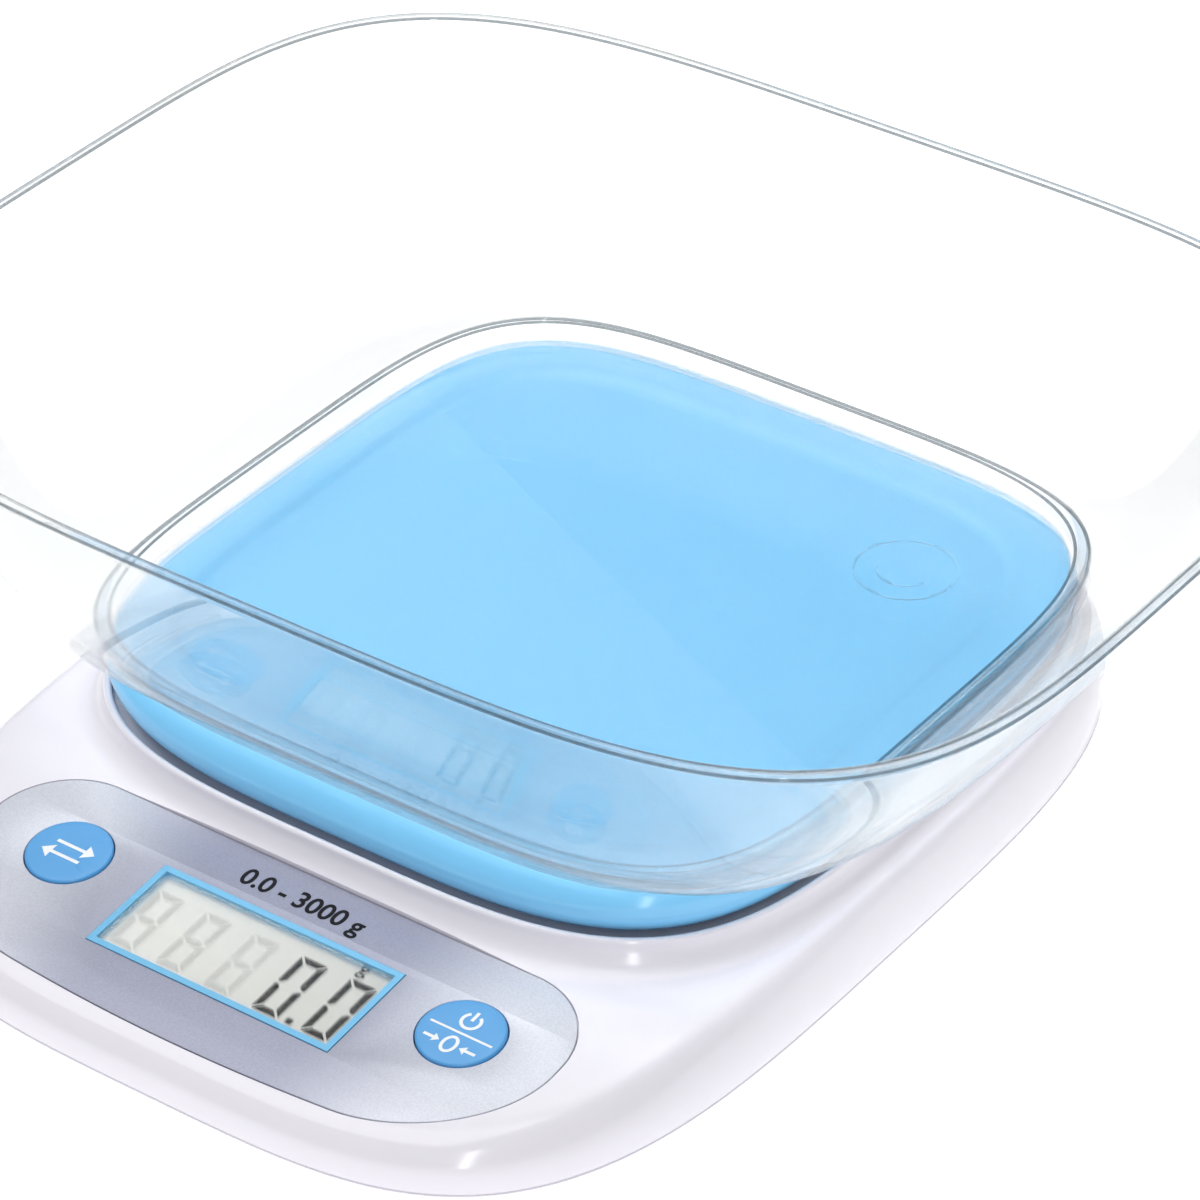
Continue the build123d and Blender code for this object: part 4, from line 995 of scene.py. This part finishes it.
def flat_curve(name, loops, thick, bevel):
    """A sheet with holes from closed flat loops, the first the outer one, with a small bevel all round."""
    curve = bpy.data.curves.new(name, "CURVE")
    curve.dimensions = "2D"
    curve.fill_mode = "BOTH"
    for loop in loops:
        spline = curve.splines.new("POLY")
        spline.points.add(len(loop) - 1)
        points = np.column_stack([loop, np.zeros(len(loop)), np.ones(len(loop))])
        spline.points.foreach_set("co", points.ravel())
        spline.use_cyclic_u = True
    curve.extrude = thick / 2 - bevel
    curve.bevel_depth = bevel
    curve.bevel_resolution = 2
    curve.offset = -bevel
    return flat_mesh(name, curve)


def flat_mesh(name, curve):
    """The mesh of a curve or text, merged into a closed solid."""
    holder = bpy.data.objects.new(name + "_curve", curve)
    bpy.context.scene.collection.objects.link(holder)
    bpy.context.view_layer.update()
    mesh = bpy.data.meshes.new_from_object(holder.evaluated_get(bpy.context.evaluated_depsgraph_get()))
    bpy.data.objects.remove(holder)
    piece = bpy.data.objects.new(name, mesh)
    bpy.context.scene.collection.objects.link(piece)
    weld = piece.modifiers.new("weld", "WELD")
    weld.merge_threshold = 0.002 * MM
    bpy.context.view_layer.update()
    piece.data = bpy.data.meshes.new_from_object(piece.evaluated_get(bpy.context.evaluated_depsgraph_get()))
    piece.modifiers.clear()
    return piece


class SCALE_OT_panel(bpy.types.Operator):
    """Build the silver overlay with its openings, and the figures printed over the display"""
    bl_idname = "scale.panel"
    bl_label = "Control panel"

    def execute(self, context):
        s = context.scene.scale_panel
        holes = [outline[::-1] for outline in panel_openings(0.1 * MM, 0.2 * MM)]
        sheet = flat_curve("panel_overlay", [panel_outline(), *holes], s.thick, s.bevel)
        sheet.data.transform(panel_place("display_bezel", -s.thick / 2))
        shade(sheet)
        dress(sheet, "overlay", "housing")
        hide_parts("control_panel")

        text = bpy.data.curves.new("range_marking", "FONT")
        text.body = "0.0 - 3000 g"
        text.size = s.mark_size
        text.align_x = "CENTER"
        text.extrude = 0.015 * MM
        text.offset = 0.1 * MM
        marking = flat_mesh("range_marking", text)
        place = panel_place("display_bezel", 0.012 * MM)
        marking.data.transform(place @ Matrix.Translation((0, s.mark_base, 0)))
        shade(marking)
        dress(marking, "black_print", "housing")
        return {"FINISHED"}


# ---- display ----------------------------------------------------------------------------------
SEGMENTS = {"-": "", "0": "abcdef", "1": "bc", "2": "abged", "3": "abgcd", "4": "fgbc", "5": "afgcd",
            "6": "afgedc", "7": "abc", "8": "abcdefg", "9": "abcdfg"}


def segment_outlines(letters, left, base, s):
    """Outlines of a seven-segment digit's bars. Each outer bar is a trapezium whose long side is on the
    digit's edge; the middle bar has pointed ends. Bars on the right and below mirror those on the left
    and above."""
    width, height, bar, slit = s.digit_width, s.digit_height, s.stroke, s.slit
    top = np.array([(slit, 0), (width - slit, 0), (width - slit - bar, -bar), (slit + bar, -bar)])
    upper = np.array([(0, -slit), (bar, -slit - bar), (bar, -height / 2 + slit + bar / 2),
                      (bar / 2, -height / 2 + slit), (0, -height / 2 + slit)])
    centre = np.array([(slit + bar / 2, 0), (slit + bar, bar / 2), (width - slit - bar, bar / 2),
                       (width - slit - bar / 2, 0), (width - slit - bar, -bar / 2), (slit + bar, -bar / 2)])
    across, down = np.array([-1, 1]), np.array([1, -1])
    shapes = {"a": top, "f": upper, "b": upper * across + (width, 0), "e": upper * down + (0, -height),
              "c": upper * across * down + (width, -height), "d": top * down + (0, -height),
              "g": centre + (0, -height / 2)}
    return [shapes[letter] + (left, base + height) for letter in letters]


class SCALE_OT_display(bpy.types.Operator):
    """Build the display's figures: dark segments, idle segments, the point and the unit's sign"""
    bl_idname = "scale.display"
    bl_label = "Display"

    def execute(self, context):
        s = context.scene.scale_display
        low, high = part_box("lcd_glass")
        left = s.first - (high.x - low.x) / 2
        place = panel_place("display_bezel")
        dark, idle = [], []
        for count, digit in enumerate(s.reading):
            spot = left + count * s.pitch
            dark += segment_outlines(SEGMENTS[digit], spot, -s.base, s)
            idle += segment_outlines("abcdefg" if digit == "-" else "", spot, -s.base, s)
        before_point = left + 3 * s.pitch + s.digit_width
        dark.append(rectangle(before_point + 1.9 * MM, -s.base + s.point / 2, s.point, s.point))
        glass = -1.3 * MM
        for name, outlines, key in (("display_figures", dark, "figures"), ("idle_figures", idle, "ghosts")):
            plates = prisms(name, outlines, glass + 0.01 * MM, glass + 0.05 * MM, place)
            dress(plates, key, "housing")
        text = bpy.data.curves.new("gram_sign", "FONT")
        text.body = "g"
        text.size = 4.0 * MM
        text.extrude = 0.01 * MM
        text.offset = 0.05 * MM
        sign = flat_mesh("gram_sign", text)
        sign.data.transform(panel_place("display_bezel", glass + 0.02 * MM)
                            @ Matrix.Translation((15.9 * MM, 7.15 * MM, 0)))
        shade(sign)
        dress(sign, "figures", "housing")
        return {"FINISHED"}


# ---- keys -------------------------------------------------------------------------------------
def arrow(x, y, long, head, width, way):
    """A straight arrow's outline about a centre; way is 1 to the right and -1 to the left."""
    half, neck, barb = long / 2, long / 2 - head, head * 0.8
    points = np.array([(-half, -width / 2), (neck, -width / 2), (neck, -barb), (half, 0), (neck, barb),
                       (neck, width / 2), (-half, width / 2)])
    return points * (way, 1) + (x, y)


def ring_strokes(x, y, radius_x, radius_y, width, start=0, end=360):
    """A round line as two strokes that meet end to end."""
    half = (start + end) / 2
    return [stroke(arc(x, y, radius_x, radius_y, start, half), width),
            stroke(arc(x, y, radius_x, radius_y, half, end), width)]


class SCALE_OT_keys(bpy.types.Operator):
    """Build the two round keys with their printed signs"""
    bl_idname = "scale.keys"
    bl_label = "Keys"

    def execute(self, context):
        radius, proud, soft = KEY_RADIUS, 0.4 * MM, 0.45 * MM
        flange, flange_under, stem_end = -3.1 * MM, -4.0 * MM, -4.5 * MM
        flange_reach, stem, core = radius + 1.2 * MM, 2.2 * MM, 1.0 * MM
        bend = np.radians(np.linspace(90, 0, 8))
        rounded = np.column_stack([np.cos(bend), np.sin(bend)]) * soft + (radius - soft, proud - soft)
        profile = np.array([(radius * 0.3, proud), (radius * 0.7, proud), *rounded,
                            (radius, flange), (flange_reach, flange), (flange_reach, flange_under),
                            (stem, flange_under), (stem, stem_end), (core, stem_end)])
        angle = np.arange(96) * 2 * math.pi / 96
        line = 0.55 * MM
        bar = 0.62 * MM
        signs = {
            "unit": [arrow(0.6 * MM, 1.05 * MM, 7.4 * MM, 1.9 * MM, bar, 1),
                     arrow(-0.6 * MM, -1.45 * MM, 7.4 * MM, 1.9 * MM, bar, -1)],
            "tare": [rectangle(0.2 * MM, -0.25 * MM, 11.4 * MM, 0.42 * MM),
                     *ring_strokes(0, 2.55 * MM, 1.55 * MM, 1.55 * MM, line, 125, 415),
                     rectangle(0, 3.65 * MM, line, 2.0 * MM),
                     *ring_strokes(0, -3.0 * MM, 1.1 * MM, 1.6 * MM, line),
                     arrow(-3.3 * MM, -3.0 * MM, 2.9 * MM, 1.1 * MM, line, 1),
                     arrow(3.3 * MM, -3.0 * MM, 2.9 * MM, 1.1 * MM, line, -1)],
        }
        for side in ("unit", "tare"):
            place = panel_place(side + "_key")
            x, y = profile[:, 0, None] * np.cos(angle), profile[:, 0, None] * np.sin(angle)
            grid = np.stack([x, y, np.broadcast_to(profile[:, 1, None], x.shape)], -1)
            placed = grid @ np.array(place.to_3x3()).T + np.array(place.translation)
            cap = ring_piece(side + "_cap", placed)
            dress(cap, "key", side + "_button")
            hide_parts(side + "_key")
            sign = prisms(side + "_sign", signs[side], proud - 0.01 * MM, proud + 0.02 * MM, place)
            dress(sign, "white_print", side + "_button")
        return {"FINISHED"}


# ---- fittings ---------------------------------------------------------------------------------
FINISHES = {
    "border": ["display_bezel"], "window": ["display_window"], "lcd": ["lcd_glass"],
    "reflector": ["lcd_reflector"], "zebra": ["zebra_strips"], "holder": ["lcd_holder"],
    "key": ["unit_key", "tare_key"], "carrier": ["platform_carrier", "unit_plunger", "tare_plunger"],
    "black": ["unit_switch", "tare_switch"], "board": ["main_pcb"], "chip": ["controller_chip"],
    "steel": ["pcb_screws", "top_spacer", "base_spacer", "carrier_screws", "base_screws", "overload_screw",
              "housing_screws", "positive_contact", "negative_contact", "bridge_contact", "crystal"],
    "tan": ["capacitors"], "aluminium": ["load_cell"], "foil": ["strain_gauges"],
    "coating": ["gauge_coating"],
    "feet": ["foot_front_left", "foot_front_right", "foot_back_left", "foot_back_right"],
    "base": ["battery_door", "lower_housing"], "cell": ["battery_left", "battery_right"],
    "spring": ["battery_springs"], "wire_red": ["battery_wires"], "wire_grey": ["load_cell_wires"],
    "cover": ["upper_housing"], "platform": ["platform"], "bowl": ["bowl"], "overlay": ["control_panel"],
}


class SCALE_OT_fittings(bpy.types.Operator):
    """Give every CAD node its finish"""
    bl_idname = "scale.fittings"
    bl_label = "Fittings"

    def execute(self, context):
        for key, names in FINISHES.items():
            for name in names:
                piece = frame["nodes"][name]
                if not piece.material_slots:
                    piece.data.materials.append(None)
                for place in piece.material_slots:
                    place.material = MATERIALS[key]
        left = [n for n in frame["nodes"] if not any(n in names for names in FINISHES.values())]
        if left:
            raise RuntimeError(f"no finish for {left}")
        return {"FINISHED"}


# ---- studio -----------------------------------------------------------------------------------
def area_light(name, place, aim, width, height, power, tone=(1, 1, 1)):
    """A soft rectangular lamp that faces a point."""
    lamp = bpy.data.lights.new(name, "AREA")
    lamp.shape = "RECTANGLE"
    lamp.size, lamp.size_y = width, height
    lamp.energy = power
    lamp.color = tone
    holder = bpy.data.objects.new(name, lamp)
    holder.location = place
    holder.rotation_euler = (Vector(aim) - Vector(place)).to_track_quat("-Z", "Y").to_euler()
    bpy.context.scene.collection.objects.link(holder)
    return holder


class SCALE_OT_studio(bpy.types.Operator):
    """Build the pale floor, the soft lights and the camera"""
    bl_idname = "scale.studio"
    bl_label = "Studio"

    def execute(self, context):
        s = context.scene.scale_studio
        reach, level = 4.0, -0.02 * MM
        corners = np.array([(x * reach, y * reach, level) for x, y in ((-1, -1), (1, -1), (1, 1), (-1, 1))])
        floor = new_piece("studio_floor", corners, [(0, 1, 2, 3)])
        material, tree, shader = new_material("backlit_white_acrylic", tuple(s.floor), 0.9)
        shader.inputs["Emission Color"].default_value = (1, 1, 1, 1)
        place = add_node(tree, "ShaderNodeTexCoord")
        away = add_node(tree, "ShaderNodeVectorMath", {0: place.outputs["Object"]}, operation="LENGTH")
        fade = add_node(tree, "ShaderNodeMapRange", {"Value": away.outputs["Value"],
                                                     "From Min": s.glow_reach, "From Max": s.glow_end,
                                                     "To Min": s.floor_glow, "To Max": 0.0})
        tree.links.new(fade.outputs["Result"], shader.inputs["Emission Strength"])
        vary(tree, shader, grain(tree, 40 * MM), tuple(s.floor), 0.004, 0.85, 0.95)
        floor.data.materials.append(material)

        world = bpy.data.worlds.new("even_studio")
        context.scene.world = world
        world.use_nodes = True
        world.node_tree.nodes["Background"].inputs["Color"].default_value = (1, 1, 1, 1)
        world.node_tree.nodes["Background"].inputs["Strength"].default_value = s.sky

        middle_point = (0, 0, 0.04)
        area_light("top_light", (-0.3, 0.05, 1.15), middle_point, 1.1, 1.1, s.key_power)
        area_light("strip_light", (0.72, -1.0, 0.5), middle_point, 0.07, 1.5, s.strip_power)

        camera = bpy.data.cameras.new("camera")
        camera.lens = 161.53
        camera.sensor_width = 36.0
        holder = bpy.data.objects.new("camera", camera)
        holder.location = (0.41967, -0.56804, 0.52893)
        holder.rotation_euler = (math.radians(55.53), 0, math.radians(35.74))
        context.scene.collection.objects.link(holder)
        context.scene.camera = holder
        context.scene.view_settings.view_transform = "Standard"
        # light runs a long way inside the bowl's rim before it comes out
        context.scene.cycles.max_bounces = 24
        context.scene.cycles.glossy_bounces = 16
        context.scene.cycles.transmission_bounces = 24
        return {"FINISHED"}


class SCALE_PT_panel(bpy.types.Panel):
    """Lists the scale's sizes and the buttons that build it"""
    bl_idname = "SCALE_PT_panel"
    bl_label = "Gram Scale"
    bl_space_type = "VIEW_3D"
    bl_region_type = "UI"
    bl_category = "Gram Scale"

    def draw(self, context):
        for name, group in SETTINGS.items():
            box = self.layout.box()
            box.label(text=group.__doc__)
            for field in group.__annotations__:
                box.prop(getattr(context.scene, name), field)
        for operator in OPERATORS:
            self.layout.operator(operator.bl_idname)


OPERATORS = (SCALE_OT_fittings, SCALE_OT_bowl, SCALE_OT_bowl_edges, SCALE_OT_platform, SCALE_OT_cover,
             SCALE_OT_base, SCALE_OT_panel, SCALE_OT_display, SCALE_OT_keys, SCALE_OT_studio)


def register():
    for group in (*SETTINGS.values(), *OPERATORS, SCALE_PT_panel):
        bpy.utils.register_class(group)
    for name, group in SETTINGS.items():
        setattr(bpy.types.Scene, name, PointerProperty(type=group))


def unregister():
    for name in SETTINGS:
        delattr(bpy.types.Scene, name)
    for group in (SCALE_PT_panel, *OPERATORS, *SETTINGS.values()):
        bpy.utils.unregister_class(group)


def main():
    register()
    MATERIALS.update(make_materials())
    bpy.ops.scale.fittings()
    bpy.ops.scale.bowl()
    bpy.ops.scale.bowl_edges()
    bpy.ops.scale.platform()
    bpy.ops.scale.cover()
    bpy.ops.scale.base()
    bpy.ops.scale.panel()
    bpy.ops.scale.display()
    bpy.ops.scale.keys()
    bpy.ops.scale.studio()


if __name__ == "__main__":
    main()
